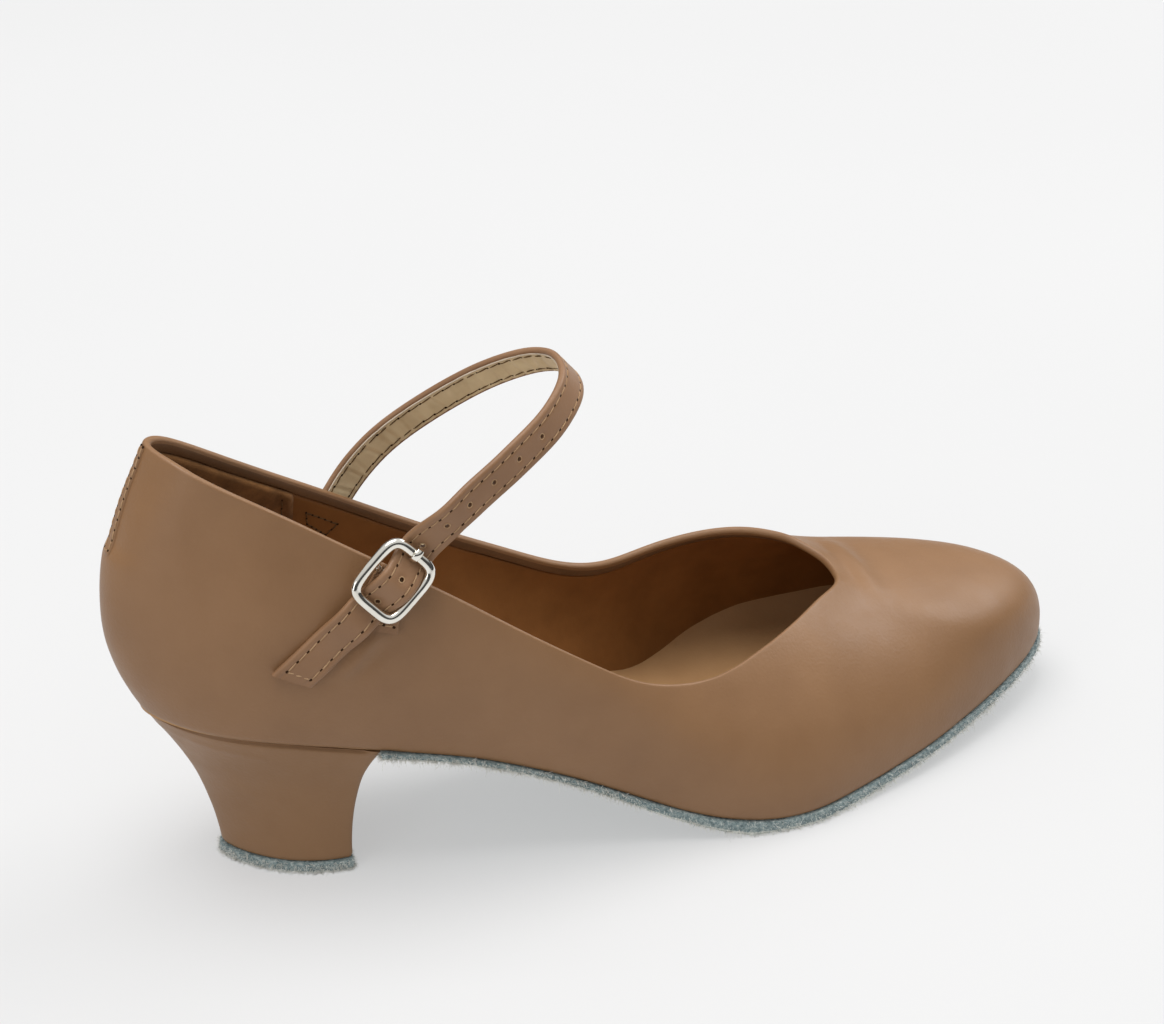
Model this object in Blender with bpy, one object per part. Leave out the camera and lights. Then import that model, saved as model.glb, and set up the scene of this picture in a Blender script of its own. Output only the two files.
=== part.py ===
# Right-foot character shoe with a covered heel, an instep strap and a buckle.
# The frame: x runs from the back of the heel seat to the toe, y to the inner (medial) side of the foot,
# z up from the floor. Sizes here are millimetres, and MM turns them into Blender's metres.
from collections import namedtuple

import bpy
import bmesh
import numpy as np
from mathutils import Vector
from mathutils.bvhtree import BVHTree

MM = 0.001
GAP = 0.3               # clearance between pieces that touch
WALL = 1.8              # upper leather with its lining
INSOLE_THICK = 4.6
INSOLE_INSET = WALL + 0.5
SOLE_OUTSET = 0.5       # how far the outsole shows beyond the upper
SOLE_BEVEL = 0.5
LIFT_THICK = 2.6
LIFT_OUTSET = 0.6
BREAST_X = 51.2         # front face of the heel at the seat

RIB_COUNT = 80          # ribs round the upper
RIB_STEPS = 12          # steps up each rib
SOLE_STATIONS = 34
HEEL_SIDE_POINTS = 12

STRAP_WIDTH = 8.4
STRAP_THICK = 1.6
STRAP_STEP = 4.5        # spacing of the strap's sections
STRAP_FINE_STEP = 1.4   # spacing where it is woven through the buckle
STRAP_EDGE = 0.4        # rounding of the strap's edges
TAIL_SKEW = 0.44        # the tail's end is cut at a slant
ROUTE_ACROSS = (0.64, 0.16, -0.75)      # way that the strap's width lies where it is free
ROUTE_MIDDLE = (68.0, 0.0, 80.0)        # middle of the strap's loop
STRAP_SEAT = STRAP_THICK / 2 + GAP

BUCKLE_LENGTH = 16.9    # outside size along the strap
BUCKLE_WIDTH = 14.2     # outside size across the strap
BUCKLE_CORNER = 4.3
BUCKLE_WIRE = 1.05      # half thickness of the rounded frame
BUCKLE_SECTIONS = 7     # sections round each corner
WIRE_SIDES = 10
BAR_RADIUS = 0.7
BAR_DROP = 1.3          # centre bar below the frame's plane
BUCKLE_X = 53.0         # point of the outer quarter under the centre bar
BUCKLE_Z = 76.0
CLIP_WIDTH = 1.9
CLIP_THICK = 0.5
CLIP_HALF_ARC = 90      # degrees that the clip reaches round its bar on each side
TAB_WIDTH = 8.0
TAB_THICK = 1.0
TAB_EYE = 0.7           # leather round the centre bar
TAB_LENGTH = 10.4
TAB_SHIFT = 0.7         # tab's middle to the front of the frame's middle, at the bar
TAB_TURN = 30.0         # degrees between the tab and the strap

# Layers over the quarter, from its face outward
PLATE_TOP = GAP + TAB_THICK
WEAVE_LOW = PLATE_TOP + STRAP_SEAT
FRAME_LIFT = WEAVE_LOW + STRAP_SEAT + BUCKLE_WIRE
BAR_LIFT = FRAME_LIFT - BAR_DROP
EYE_RADIUS = BAR_RADIUS + GAP + TAB_EYE
WEAVE_HIGH = BAR_LIFT + EYE_RADIUS + STRAP_SEAT
WEAVE_REACH = BUCKLE_LENGTH / 2 - BUCKLE_WIRE
WEAVE_END = 12.0        # the strap comes down to the quarter past this

# Strap in the buckle: place along it, place across, height over the quarter
WeaveRow = namedtuple("WeaveRow", "place aside lift")
WEAVE_ROWS = (
    WeaveRow(-WEAVE_REACH, 0.4, WEAVE_LOW),
    WeaveRow(0.0, 0.6, WEAVE_HIGH),
    WeaveRow(WEAVE_REACH, 0.4, WEAVE_LOW),
    WeaveRow(WEAVE_END, 0.2, WEAVE_LOW),
)

# Sole profile: height of the seam with the upper, and thickness of the outsole under it
Profile = namedtuple("Profile", "x seat thick")
SOLE_PROFILE = (
    Profile(0.0, 41.4, 2.0),
    Profile(12.0, 40.2, 2.0),
    Profile(30.0, 37.8, 2.0),
    Profile(51.0, 32.5, 1.5),
    Profile(66.0, 29.3, 1.5),
    Profile(80.0, 24.8, 1.6),
    Profile(92.0, 19.9, 1.8),
    Profile(104.0, 14.2, 2.2),
    Profile(114.0, 9.4, 2.7),
    Profile(124.0, 5.6, 3.0),
    Profile(136.0, 3.3, 3.7),
    Profile(150.0, 3.1, 3.2),
    Profile(164.0, 3.9, 2.9),
    Profile(178.0, 5.3, 2.6),
    Profile(192.0, 7.0, 2.4),
    Profile(208.0, 9.2, 2.2),
    Profile(222.0, 11.2, 2.0),
    Profile(234.0, 12.9, 1.9),
)

# Ribs of the upper, from the back seam along the outer side to the toe and back along the inner side.
# A rib rises from its foot on the sole to its top on the topline. lean is its slope outward at the foot,
# rise the length of that handle, roof its fall at the topline, reach the length of that handle.
Rib = namedtuple("Rib", "foot_x foot_y top_x top_y top_z lean rise roof reach")
RIBS = (
    Rib(3.6, 0.0, 8.4, 0.0, 103.3, 29, 23, 62, 24),
    Rib(7.0, -8.5, 11.2, -8.0, 102.5, 25, 21, 70, 22),
    Rib(15.0, -16.5, 16.2, -13.6, 99.9, 20, 19, 82, 20),
    Rib(30.0, -22.6, 28.0, -18.3, 93.4, 20, 19, 80, 18),
    Rib(48.0, -23.8, 46.0, -22.5, 82.2, 21, 18, 76, 16),
    Rib(66.0, -26.2, 65.0, -26.5, 70.0, 18, 15, 76, 13),
    Rib(84.0, -28.6, 82.0, -29.2, 58.3, 18, 12, 72, 11),
    Rib(102.0, -31.2, 98.4, -31.0, 47.4, 16, 10, 66, 9),
    Rib(119.0, -34.6, 112.0, -30.8, 40.0, 15, 10, 60, 9),
    Rib(134.0, -38.0, 127.0, -28.0, 37.0, 14, 10, 50, 10),
    Rib(148.0, -38.6, 140.0, -23.5, 38.4, 12, 10, 42, 12),
    Rib(164.0, -34.2, 153.0, -16.5, 40.4, 10, 12, 36, 15),
    Rib(181.0, -28.2, 162.5, -9.5, 41.0, 8, 14, 33, 18),
    Rib(198.0, -20.4, 169.0, -4.0, 40.4, 6, 16, 28, 24),
    Rib(213.0, -12.0, 171.8, 0.0, 40.2, 5, 20, 23, 29),
    Rib(225.0, -2.8, 172.6, 4.0, 40.4, 5, 23, 20, 33),
    Rib(230.8, 7.5, 172.2, 9.0, 41.3, 6, 26, 21, 31),
    Rib(228.4, 18.0, 170.6, 13.0, 42.2, 6, 26, 26, 25),
    Rib(220.0, 26.8, 168.0, 17.0, 43.3, 7, 24, 33, 19),
    Rib(205.0, 34.6, 163.0, 20.4, 44.6, 8, 19, 38, 16),
    Rib(188.0, 39.8, 156.0, 23.7, 45.2, 10, 16, 44, 14),
    Rib(170.0, 41.8, 146.0, 26.4, 44.5, 12, 14, 46, 12),
    Rib(152.0, 39.6, 134.0, 27.7, 42.4, 14, 12, 54, 12),
    Rib(135.0, 32.6, 122.0, 27.6, 40.4, 16, 12, 62, 11),
    Rib(118.0, 25.2, 110.0, 26.3, 43.4, 17, 12, 68, 10),
    Rib(100.0, 19.8, 97.0, 25.0, 49.9, 19, 12, 74, 11),
    Rib(82.0, 17.6, 82.0, 23.5, 58.0, 19, 15, 78, 13),
    Rib(66.0, 18.8, 66.0, 21.5, 67.3, 18, 16, 80, 15),
    Rib(48.0, 21.8, 48.0, 17.8, 78.7, 18, 18, 80, 17),
    Rib(30.0, 22.6, 30.0, 12.5, 90.5, 18, 18, 80, 19),
    Rib(15.0, 16.5, 17.0, 8.7, 99.1, 18, 19, 78, 20),
    Rib(7.0, 8.8, 10.9, 5.2, 102.6, 25, 21, 66, 22),
)

# Heel by level, from 0 on its lift to 1 at the seat: back and front ends, half width, and how full
# the rounded back is
HeelLevel = namedtuple("HeelLevel", "level back front half_width fullness")
HEEL_LEVELS = (
    HeelLevel(0.00, 19.2, 44.9, 17.3, 2.1),
    HeelLevel(0.12, 18.5, 44.9, 17.4, 2.1),
    HeelLevel(0.32, 16.8, 45.3, 17.8, 2.2),
    HeelLevel(0.54, 14.0, 46.2, 18.8, 2.4),
    HeelLevel(0.75, 9.9, 47.6, 20.6, 2.7),
    HeelLevel(0.90, 6.2, 49.4, 22.4, 3.0),
    HeelLevel(1.00, 3.6, 51.0, 23.6, 3.2),
)
HEEL_ROUND = 0.74       # power that closes the rounded back

# Strap centreline. On a quarter its place is given by x and z, and the quarter's face gives y.
# The free rows run over the instep from the inner side to the buckle.
SeatRow = namedtuple("SeatRow", "x z lift")
INNER_ROWS = (
    SeatRow(45.0, 61.0, STRAP_SEAT),
    SeatRow(51.5, 67.2, STRAP_SEAT),
)
TAIL_ROWS = (
    SeatRow(40.2, 64.4, STRAP_SEAT),
    SeatRow(35.4, 60.4, STRAP_SEAT),
    SeatRow(30.6, 56.4, STRAP_SEAT),
)
FreeRow = namedtuple("FreeRow", "x y z")
FREE_ROWS = (
    FreeRow(57.5, 23.2, 74.3),
    FreeRow(66.6, 23.4, 83.7),
    FreeRow(73.6, 21.8, 89.2),
    FreeRow(81.3, 18.8, 94.8),
    FreeRow(87.8, 15.1, 99.5),
    FreeRow(93.4, 10.5, 103.4),
    FreeRow(98.0, 5.6, 106.2),
    FreeRow(100.9, 0.0, 107.6),
    FreeRow(101.0, -6.1, 107.6),
    FreeRow(98.9, -12.2, 106.7),
    FreeRow(95.5, -16.4, 104.8),
    FreeRow(90.6, -20.2, 102.2),
    FreeRow(84.4, -23.5, 99.4),
    FreeRow(77.9, -26.3, 96.4),
    FreeRow(71.2, -28.3, 92.9),
    FreeRow(65.4, -29.5, 89.2),
)


def curve_through(knots, rows, where, closed=False):
    """Smooth curve through rows at knots, read at the places in where."""
    knots = np.asarray(knots, float)
    rows = np.asarray(rows, float).reshape(len(knots), -1)
    steps = np.diff(knots)
    slopes = np.diff(rows, axis=0) / steps[:, None]
    count = len(knots)
    system = np.eye(count)
    bends = np.zeros_like(rows)
    for i in range(1, count - 1):
        system[i, i - 1:i + 2] = steps[i - 1], 2 * (steps[i - 1] + steps[i]), steps[i]
        bends[i] = 6 * (slopes[i] - slopes[i - 1])
    if closed:
        system[0, [0, 1, count - 2]] = 2 * (steps[0] + steps[-1]), steps[0], steps[-1]
        bends[0] = 6 * (slopes[0] - slopes[-1])
        system[-1, 0] = -1
    bends = np.linalg.solve(system, bends)
    where = np.asarray(where, float)
    i = np.clip(np.searchsorted(knots, where, side="right") - 1, 0, count - 2)
    ahead = (where - knots[i])[:, None]
    step = steps[i][:, None]
    slope = slopes[i] - step * (2 * bends[i] + bends[i + 1]) / 6
    curl = (bends[i + 1] - bends[i]) / (6 * step)
    return rows[i] + ahead * (slope + ahead * (bends[i] / 2 + ahead * curl))


def sole_top(x):
    """Height of the sole's upper face at x."""
    table = np.array(SOLE_PROFILE)
    return curve_through(table[:, 0], table[:, 1], np.atleast_1d(x))[:, 0]


def sole_bottom(x):
    """Height of the outsole's underside, flat on the floor under the ball."""
    table = np.array(SOLE_PROFILE)
    thick = curve_through(table[:, 0], table[:, 2], np.atleast_1d(x))[:, 0]
    return np.maximum(sole_top(x) - thick, 0.0)


def unit(vectors):
    """Vectors scaled to length one."""
    return vectors / np.linalg.norm(vectors, axis=-1, keepdims=True)


def read_ribs(count):
    """Rib values at count places round the upper, with the outward direction of the sole's edge."""
    table = np.array(RIBS)
    closed = np.vstack([table, table[:1]])
    lengths = np.hypot(*np.diff(closed[:, :2], axis=0).T)
    knots = np.concatenate([[0.0], np.cumsum(lengths)])
    places = np.arange(count) / count * knots[-1]
    values = curve_through(knots, closed, places, closed=True)
    nudge = 0.01
    ahead = curve_through(knots, closed, places + nudge, closed=True)
    along = unit(ahead[:, :2] - values[:, :2])
    outward = np.stack([along[:, 1], -along[:, 0], np.zeros(count)], 1)
    return values, outward


def upper_face(count, steps):
    """Outer face of the upper as a grid of points: ribs round the shoe, steps from sole to topline."""
    values, outward = read_ribs(count)
    up = np.array([0.0, 0.0, 1.0])
    foot = np.column_stack([values[:, 0], values[:, 1], sole_top(values[:, 0]) + GAP])
    top = values[:, 2:5]
    lean = np.radians(values[:, 5:6])
    roof = np.radians(values[:, 7:8])
    low = foot + values[:, 6:7] * (np.cos(lean) * up + np.sin(lean) * outward)
    high = top + values[:, 8:9] * (np.cos(roof) * outward - np.sin(roof) * up)
    t = np.linspace(0.0, 1.0, steps + 1)[None, :, None]
    return ((1 - t) ** 3 * foot[:, None] + 3 * t * (1 - t) ** 2 * low[:, None]
            + 3 * t * t * (1 - t) * high[:, None] + t ** 3 * top[:, None])


def face_normals(grid):
    """Outward normals of a grid whose first direction closes on itself."""
    round_way = np.roll(grid, -1, axis=0) - np.roll(grid, 1, axis=0)
    up_way = np.gradient(grid, axis=1)
    return unit(np.cross(round_way, up_way))


def feather_line(count, outset):
    """Sole edge of the upper in plan, moved outward by outset, lateral side first."""
    values, outward = read_ribs(count)
    return values[:, :2] + outset * outward[:, :2]


def edge_sides(outset):
    """The two sides of the outset sole edge, each as x and y with x rising."""
    line = feather_line(360, outset)
    back = int(np.argmin(line[:, 0]))
    line = np.roll(line, -back, axis=0)
    tip = int(np.argmax(line[:, 0]))
    outer = line[:tip + 1]
    inner = np.vstack([line[tip:], line[:1]])[::-1]
    return outer, inner


def spread(low, high, count, ease_low, ease_high):
    """Count places from low to high, closer together at the ends that are eased."""
    t = np.linspace(0.0, 1.0, count)
    if ease_low and ease_high:
        t = (1 - np.cos(np.pi * t)) / 2
    elif ease_high:
        t = np.sin(np.pi / 2 * t)
    return low + (high - low) * t


def make_material(name, colour, roughness, metallic=0.0):
    """Principled material of one colour."""
    material = bpy.data.materials.new(name)
    material.use_nodes = True
    shader = material.node_tree.nodes["Principled BSDF"]
    shader.inputs["Base Color"].default_value = (*colour, 1.0)
    shader.inputs["Roughness"].default_value = roughness
    shader.inputs["Metallic"].default_value = metallic
    return material


def make_object(name, points, faces, material, smooth_angle=40):
    """Named object from millimetre points, with its faces turned outward."""
    mesh = bpy.data.meshes.new(name)
    mesh.from_pydata([tuple(p) for p in np.asarray(points) * MM], [], faces)
    work = bmesh.new()
    work.from_mesh(mesh)
    bmesh.ops.recalc_face_normals(work, faces=work.faces)
    work.to_mesh(mesh)
    work.free()
    mesh.materials.append(material)
    mesh.shade_smooth()
    mesh.set_sharp_from_angle(angle=np.radians(smooth_angle))
    item = bpy.data.objects.new(name, mesh)
    bpy.context.collection.objects.link(item)
    return item


def skin_faces(rings, ring_size, close_rings=False):
    """Quads between successive rings of points."""
    faces = []
    spans = rings if close_rings else rings - 1
    for a in range(spans):
        b = (a + 1) % rings
        for i in range(ring_size):
            j = (i + 1) % ring_size
            faces.append((a * ring_size + i, a * ring_size + j, b * ring_size + j, b * ring_size + i))
    return faces


def strip_cap(first, count):
    """Faces that close a ring of mirrored pairs, straight across from pair to pair."""
    faces = []
    for i in range(count // 2):
        j = count - 1 - i
        if j - i > 2:
            faces.append((first + i, first + i + 1, first + j - 1, first + j))
        elif j - i == 2:
            faces.append((first + i, first + i + 1, first + j))
    return faces


def make_upper(material):
    """Hollow upper: outer face, rounded topline, lining face and the bottom edge that meets the sole."""
    outer = upper_face(RIB_COUNT, RIB_STEPS)
    inner = outer - WALL * face_normals(outer)
    inner[:, 0, 2] = sole_top(inner[:, 0, 0]) + GAP
    rim_rise = unit(outer[:, -1] - outer[:, -2]) * WALL * 0.4
    rim = (outer[:, -1] + inner[:, -1]) / 2 + rim_rise
    sections = np.concatenate([outer, rim[:, None], inner[:, ::-1]], axis=1)
    count, size = sections.shape[:2]
    return make_object("upper", sections.reshape(-1, 3), skin_faces(count, size, close_rings=True), material)


def sole_section(x, outer_y, inner_y, top, bottom, bevel):
    """Cross-section of a flat piece at x, with its lower edges bevelled."""
    return [(x, outer_y, top), (x, outer_y, bottom + bevel), (x, outer_y + bevel, bottom),
            (x, inner_y - bevel, bottom), (x, inner_y, bottom + bevel), (x, inner_y, top)]


def make_flat_piece(name, stations, outset, top_of, bottom_of, bevel, material):
    """Piece whose faces are straight across the shoe, with the outline of the sole edge."""
    outer, inner = edge_sides(outset)
    points = []
    for x in stations:
        outer_y = np.interp(x, outer[:, 0], outer[:, 1])
        inner_y = np.interp(x, inner[:, 0], inner[:, 1])
        points += sole_section(x, outer_y, inner_y, top_of(x)[0], bottom_of(x)[0], bevel)
    size = 6
    faces = skin_faces(len(stations), size)
    last = (len(stations) - 1) * size
    faces.append(tuple(range(size)))
    faces.append(tuple(range(last, last + size)))
    return make_object(name, points, faces, material)


def make_outsole(material):
    """Suede outsole from the heel's front face to the toe."""
    outer, _ = edge_sides(SOLE_OUTSET)
    tip = outer[-1, 0] - 0.15
    stations = spread(BREAST_X, tip, SOLE_STATIONS, False, True)
    return make_flat_piece("outsole", stations, SOLE_OUTSET, sole_top, sole_bottom, SOLE_BEVEL, material)


def make_insole(material):
    """Insole inside the upper, lying on the sole and the heel seat."""
    outer, _ = edge_sides(-INSOLE_INSET)
    stations = spread(outer[0, 0] + 0.1, outer[-1, 0] - 0.1, SOLE_STATIONS, True, True)
    return make_flat_piece("insole", stations, -INSOLE_INSET, lambda x: sole_top(x) + GAP + INSOLE_THICK,
                           lambda x: sole_top(x) + GAP, SOLE_BEVEL, material)


def heel_ring(level, outset=0.0):
    """D-shaped section of the heel in plan at a level, from the outer front corner round the back."""
    table = np.array(HEEL_LEVELS)
    back, front, half, full = curve_through(table[:, 0], table[:, 1:], [level])[0]
    back = back - outset
    front = front + outset
    half = half + outset
    u = np.sin(np.linspace(0.0, np.pi / 2, HEEL_SIDE_POINTS + 1))
    x = front - (front - back) * u
    y = half * (1 - u ** full) ** HEEL_ROUND
    outer = np.column_stack([x, -y])
    inner = np.column_stack([x, y])[:-1][::-1]
    return np.vstack([outer, inner])


def make_heel(material):
    """Covered heel, lofted through its levels up to the seat curve."""
    floor = LIFT_THICK + GAP
    seat = sole_top(heel_ring(1.0)[:, 0])
    levels = np.linspace(0.0, 1.0, 11)
    points = []
    for level in levels:
        ring = heel_ring(level)
        height = floor + level * (seat - floor)
        points.append(np.column_stack([ring, height]))
    size = len(points[0])
    faces = skin_faces(len(levels), size)
    faces += strip_cap(0, size)
    faces += strip_cap((len(levels) - 1) * size, size)
    return make_object("heel", np.vstack(points), faces, material)


def make_heel_lift(material):
    """Flat suede top piece that the heel stands on."""
    ring = heel_ring(0.0, LIFT_OUTSET)
    inset = heel_ring(0.0, LIFT_OUTSET - SOLE_BEVEL)
    layers = ((inset, 0.0), (ring, SOLE_BEVEL), (ring, LIFT_THICK))
    points = [np.column_stack([line, np.full(len(line), height)]) for line, height in layers]
    size = len(ring)
    faces = skin_faces(len(layers), size)
    faces += strip_cap(0, size)
    faces += strip_cap((len(layers) - 1) * size, size)
    return make_object("heel_lift", np.vstack(points), faces, material)


def quarter_seat(tree, side, x, z):
    """Point of the upper's outer face at x and z on one side, with its outward normal."""
    far = Vector((x, side * 200.0, z))
    point, normal, _, _ = tree.ray_cast(far, Vector((0.0, -side, 0.0)))
    normal = np.array(normal)
    return np.array(point), normal * np.sign(normal[1] * side)


def upper_tree():
    """Search tree over the upper's outer face."""
    grid = upper_face(RIB_COUNT, RIB_STEPS)
    count, size = grid.shape[:2]
    faces = []
    for a in range(count):
        b = (a + 1) % count
        faces += [(a * size + j, b * size + j, b * size + j + 1, a * size + j + 1) for j in range(size - 1)]
    return BVHTree.FromPolygons([tuple(p) for p in grid.reshape(-1, 3)], faces)


def buckle_axes(tree):
    """Buckle's frame: origin on the quarter, and the directions along the strap, across it and outward."""
    origin, outward = quarter_seat(tree, -1, BUCKLE_X, BUCKLE_Z)
    tail, _ = quarter_seat(tree, -1, TAIL_ROWS[0].x, TAIL_ROWS[0].z)
    along = tail - origin
    along = unit(along - outward * (along @ outward))
    across = np.cross(outward, along)
    return origin, along, across, outward


def sweep(centres, across, outward, section):
    """Rings of points: a section of (across, outward, along) places carried along a centreline."""
    along = unit(np.gradient(centres, axis=0))
    across = unit(across - along * np.sum(across * along, axis=1, keepdims=True))
    normal = np.cross(across, along)
    flip = np.sign(np.sum(normal * outward, axis=1, keepdims=True))
    normal = normal * flip
    return [c + section[:, 0:1] * a + section[:, 1:2] * n for c, a, n in zip(centres, across, normal)], along


def strip_section(width, thick, edge):
    """Flat section with bevelled corners, as places across and outward."""
    half, deep = width / 2, thick / 2
    corners = [(half, deep - edge), (half - edge, deep), (0.0, deep), (edge - half, deep),
               (-half, deep - edge), (-half, edge - deep), (edge - half, -deep), (0.0, -deep),
               (half - edge, -deep), (half, edge - deep)]
    return np.array(corners)


def strap_line(tree):
    """Strap's centreline with its across and outward directions, from the inner quarter to the tail."""
    loop_axis = unit(np.array(ROUTE_ACROSS))
    origin, along, across, outward = buckle_axes(tree)
    rows = []
    for row in INNER_ROWS:
        point, normal = quarter_seat(tree, 1, row.x, row.z)
        rows.append((point + row.lift * normal, loop_axis - normal * (loop_axis @ normal), normal))
    for row in FREE_ROWS:
        point = np.array(row)
        rows.append((point, loop_axis, point - ROUTE_MIDDLE))
    for place, aside, lift in WEAVE_ROWS:
        rows.append((origin + place * along + aside * across + lift * outward, across, outward))
    for row in TAIL_ROWS:
        point, normal = quarter_seat(tree, -1, row.x, row.z)
        rows.append((point + row.lift * normal, across - normal * (across @ normal), normal))
    table = np.array([np.concatenate(row) for row in rows])
    table[:, 3:6] = unit(table[:, 3:6])
    table[:, 6:9] = unit(table[:, 6:9])
    knots = np.concatenate([[0.0], np.cumsum(np.linalg.norm(np.diff(table[:, :3], axis=0), axis=1))])
    bar = knots[len(INNER_ROWS) + len(FREE_ROWS) + 1]
    woven = bar - 1.5 * WEAVE_REACH, bar + 2.0 * WEAVE_REACH
    places = np.concatenate([np.linspace(0.0, woven[0], round(woven[0] / STRAP_STEP))[:-1],
                             np.arange(woven[0], woven[1], STRAP_FINE_STEP),
                             np.linspace(woven[1], knots[-1], 5)])
    line = curve_through(knots, table, places)
    return line[:, :3], line[:, 3:6], line[:, 6:9]


def make_strap(tree, material):
    """Instep strap, from the inner quarter through the buckle to its tail on the outer quarter."""
    centres, across, outward = strap_line(tree)
    section = strip_section(STRAP_WIDTH, STRAP_THICK, STRAP_EDGE)
    rings, along = sweep(centres, across, outward, section)
    rings[-1] = rings[-1] - TAIL_SKEW * section[:, 0:1] * along[-1]
    size = len(section)
    faces = skin_faces(len(rings), size)
    last = (len(rings) - 1) * size
    faces.append(tuple(range(size)))
    faces.append(tuple(range(last, last + size)))
    return make_object("strap", np.vstack(rings), faces, material)


def frame_path():
    """Rounded rectangle through the middle of the buckle's wire, as places along and across."""
    half_long = BUCKLE_LENGTH / 2 - BUCKLE_WIRE
    half_wide = BUCKLE_WIDTH / 2 - BUCKLE_WIRE
    radius = BUCKLE_CORNER - BUCKLE_WIRE
    path = []
    for quarter in range(4):
        turn = quarter * np.pi / 2
        centre_long = (half_long - radius) * (1 if quarter in (0, 3) else -1)
        centre_wide = (half_wide - radius) * (1 if quarter in (0, 1) else -1)
        for angle in np.linspace(turn, turn + np.pi / 2, BUCKLE_SECTIONS):
            path.append((centre_long + radius * np.cos(angle), centre_wide + radius * np.sin(angle)))
    return np.array(path)


def make_buckle_frame(axes, material):
    """Rounded rectangular frame with its centre bar, one casting."""
    origin, along, across, outward = axes
    path = frame_path()
    travel = np.roll(path, -1, axis=0) - np.roll(path, 1, axis=0)
    travel = travel / np.linalg.norm(travel, axis=1, keepdims=True)
    angles = np.arange(WIRE_SIDES) / WIRE_SIDES * 2 * np.pi
    rings = []
    for (place, side), (run_long, run_wide) in zip(path, travel):
        centre = origin + place * along + side * across + FRAME_LIFT * outward
        sideways = run_wide * along - run_long * across
        rings.append(centre + BUCKLE_WIRE * (np.cos(angles)[:, None] * sideways
                                             + np.sin(angles)[:, None] * outward))
    faces = skin_faces(len(rings), WIRE_SIDES, close_rings=True)
    frame = make_object("buckle_frame", np.vstack(rings), faces, material)

    ends = []
    reach = BUCKLE_WIDTH / 2 - BUCKLE_WIRE
    for side in (-reach, reach):
        centre = origin + side * across + BAR_LIFT * outward
        ends.append(centre + BAR_RADIUS * (np.cos(angles)[:, None] * along
                                           + np.sin(angles)[:, None] * outward))
    faces = skin_faces(2, WIRE_SIDES)
    faces.append(tuple(range(WIRE_SIDES)))
    faces.append(tuple(range(WIRE_SIDES, 2 * WIRE_SIDES)))
    bar = make_object("buckle_bar_shape", np.vstack(ends), faces, material)
    bar.hide_render = True
    bar.display_type = "WIRE"
    bar.parent = frame
    join = frame.modifiers.new("centre bar", "BOOLEAN")
    join.operation = "UNION"
    join.object = bar
    return frame


def bent_strip(name, path, normals, thicks, axes, shifts, width, end_skew, material):
    """Strip bent along a path of (along, outward) places, shifted across by shifts, its first end skewed."""
    origin, along, across, outward = axes
    points = []
    for i, (place, lift) in enumerate(path):
        normal = normals[i][0] * along + normals[i][1] * outward
        centre = origin + place * along + lift * outward + shifts[i] * across
        for side, deep in ((1, 1), (-1, 1), (-1, -1), (1, -1)):
            corner = centre + side * width / 2 * across + deep * thicks[i] / 2 * normal
            if i == 0:
                corner = corner - end_skew * side * width / 2 * along
            points.append(corner)
    faces = skin_faces(len(path), 4)
    last = (len(path) - 1) * 4
    faces.append(tuple(range(4)))
    faces.append(tuple(range(last, last + 4)))
    return make_object(name, points, faces, material)


def make_buckle_clip(axes, material):
    """Short flat clip that saddles the frame's upper bar."""
    radius = BUCKLE_WIRE + GAP + CLIP_THICK / 2
    angles = np.radians(np.linspace(90 - CLIP_HALF_ARC, 90 + CLIP_HALF_ARC, 13))
    normals = np.column_stack([np.cos(angles), np.sin(angles)])
    path = radius * normals + (-WEAVE_REACH, FRAME_LIFT)
    count = len(path)
    return bent_strip("buckle_clip", path, normals, np.full(count, CLIP_THICK), axes, np.zeros(count),
                      CLIP_WIDTH, 0.0, material)


def make_buckle_tab(axes, material):
    """Leather tab on the outer quarter, with the eye that holds the buckle's centre bar."""
    radius = EYE_RADIUS - TAB_EYE / 2
    middle = PLATE_TOP - TAB_THICK / 2
    angles = np.radians(np.linspace(-90, -370, 15))
    eye_normals = -np.column_stack([np.cos(angles), np.sin(angles)])
    eye = np.array([0.0, BAR_LIFT]) - radius * eye_normals
    ramp = np.array([[TAB_LENGTH, middle], [TAB_LENGTH / 2, middle], [3.2, middle],
                     [1.5, (middle + eye[0, 1]) / 2]])
    path = np.vstack([ramp, eye])
    normals = np.vstack([[[0.0, 1.0]] * 3, unit(np.array([[0.4, 1.0]])), eye_normals])
    thicks = np.array([TAB_THICK] * 3 + [TAB_EYE] * (len(path) - 3))
    turn = np.tan(np.radians(TAB_TURN))
    shifts = TAB_SHIFT + turn * np.maximum(path[:, 0] - EYE_RADIUS, 0.0)
    return bent_strip("buckle_tab", path, normals, thicks, axes, shifts, TAB_WIDTH, turn, material)


def stand_on_origin(items):
    """Carry every piece on an empty that puts the middle of the footprint at the world's origin."""
    points = np.array([tuple(vertex.co) for item in items for vertex in item.data.vertices])
    middle = (points.min(axis=0) + points.max(axis=0)) / 2
    carrier = bpy.data.objects.new("shoe", None)
    bpy.context.collection.objects.link(carrier)
    carrier.location = (-middle[0], -middle[1], 0.0)
    for item in items:
        item.parent = carrier


def clear_scene():
    """Remove what a new file holds."""
    for item in list(bpy.data.objects):
        bpy.data.objects.remove(item, do_unlink=True)


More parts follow.
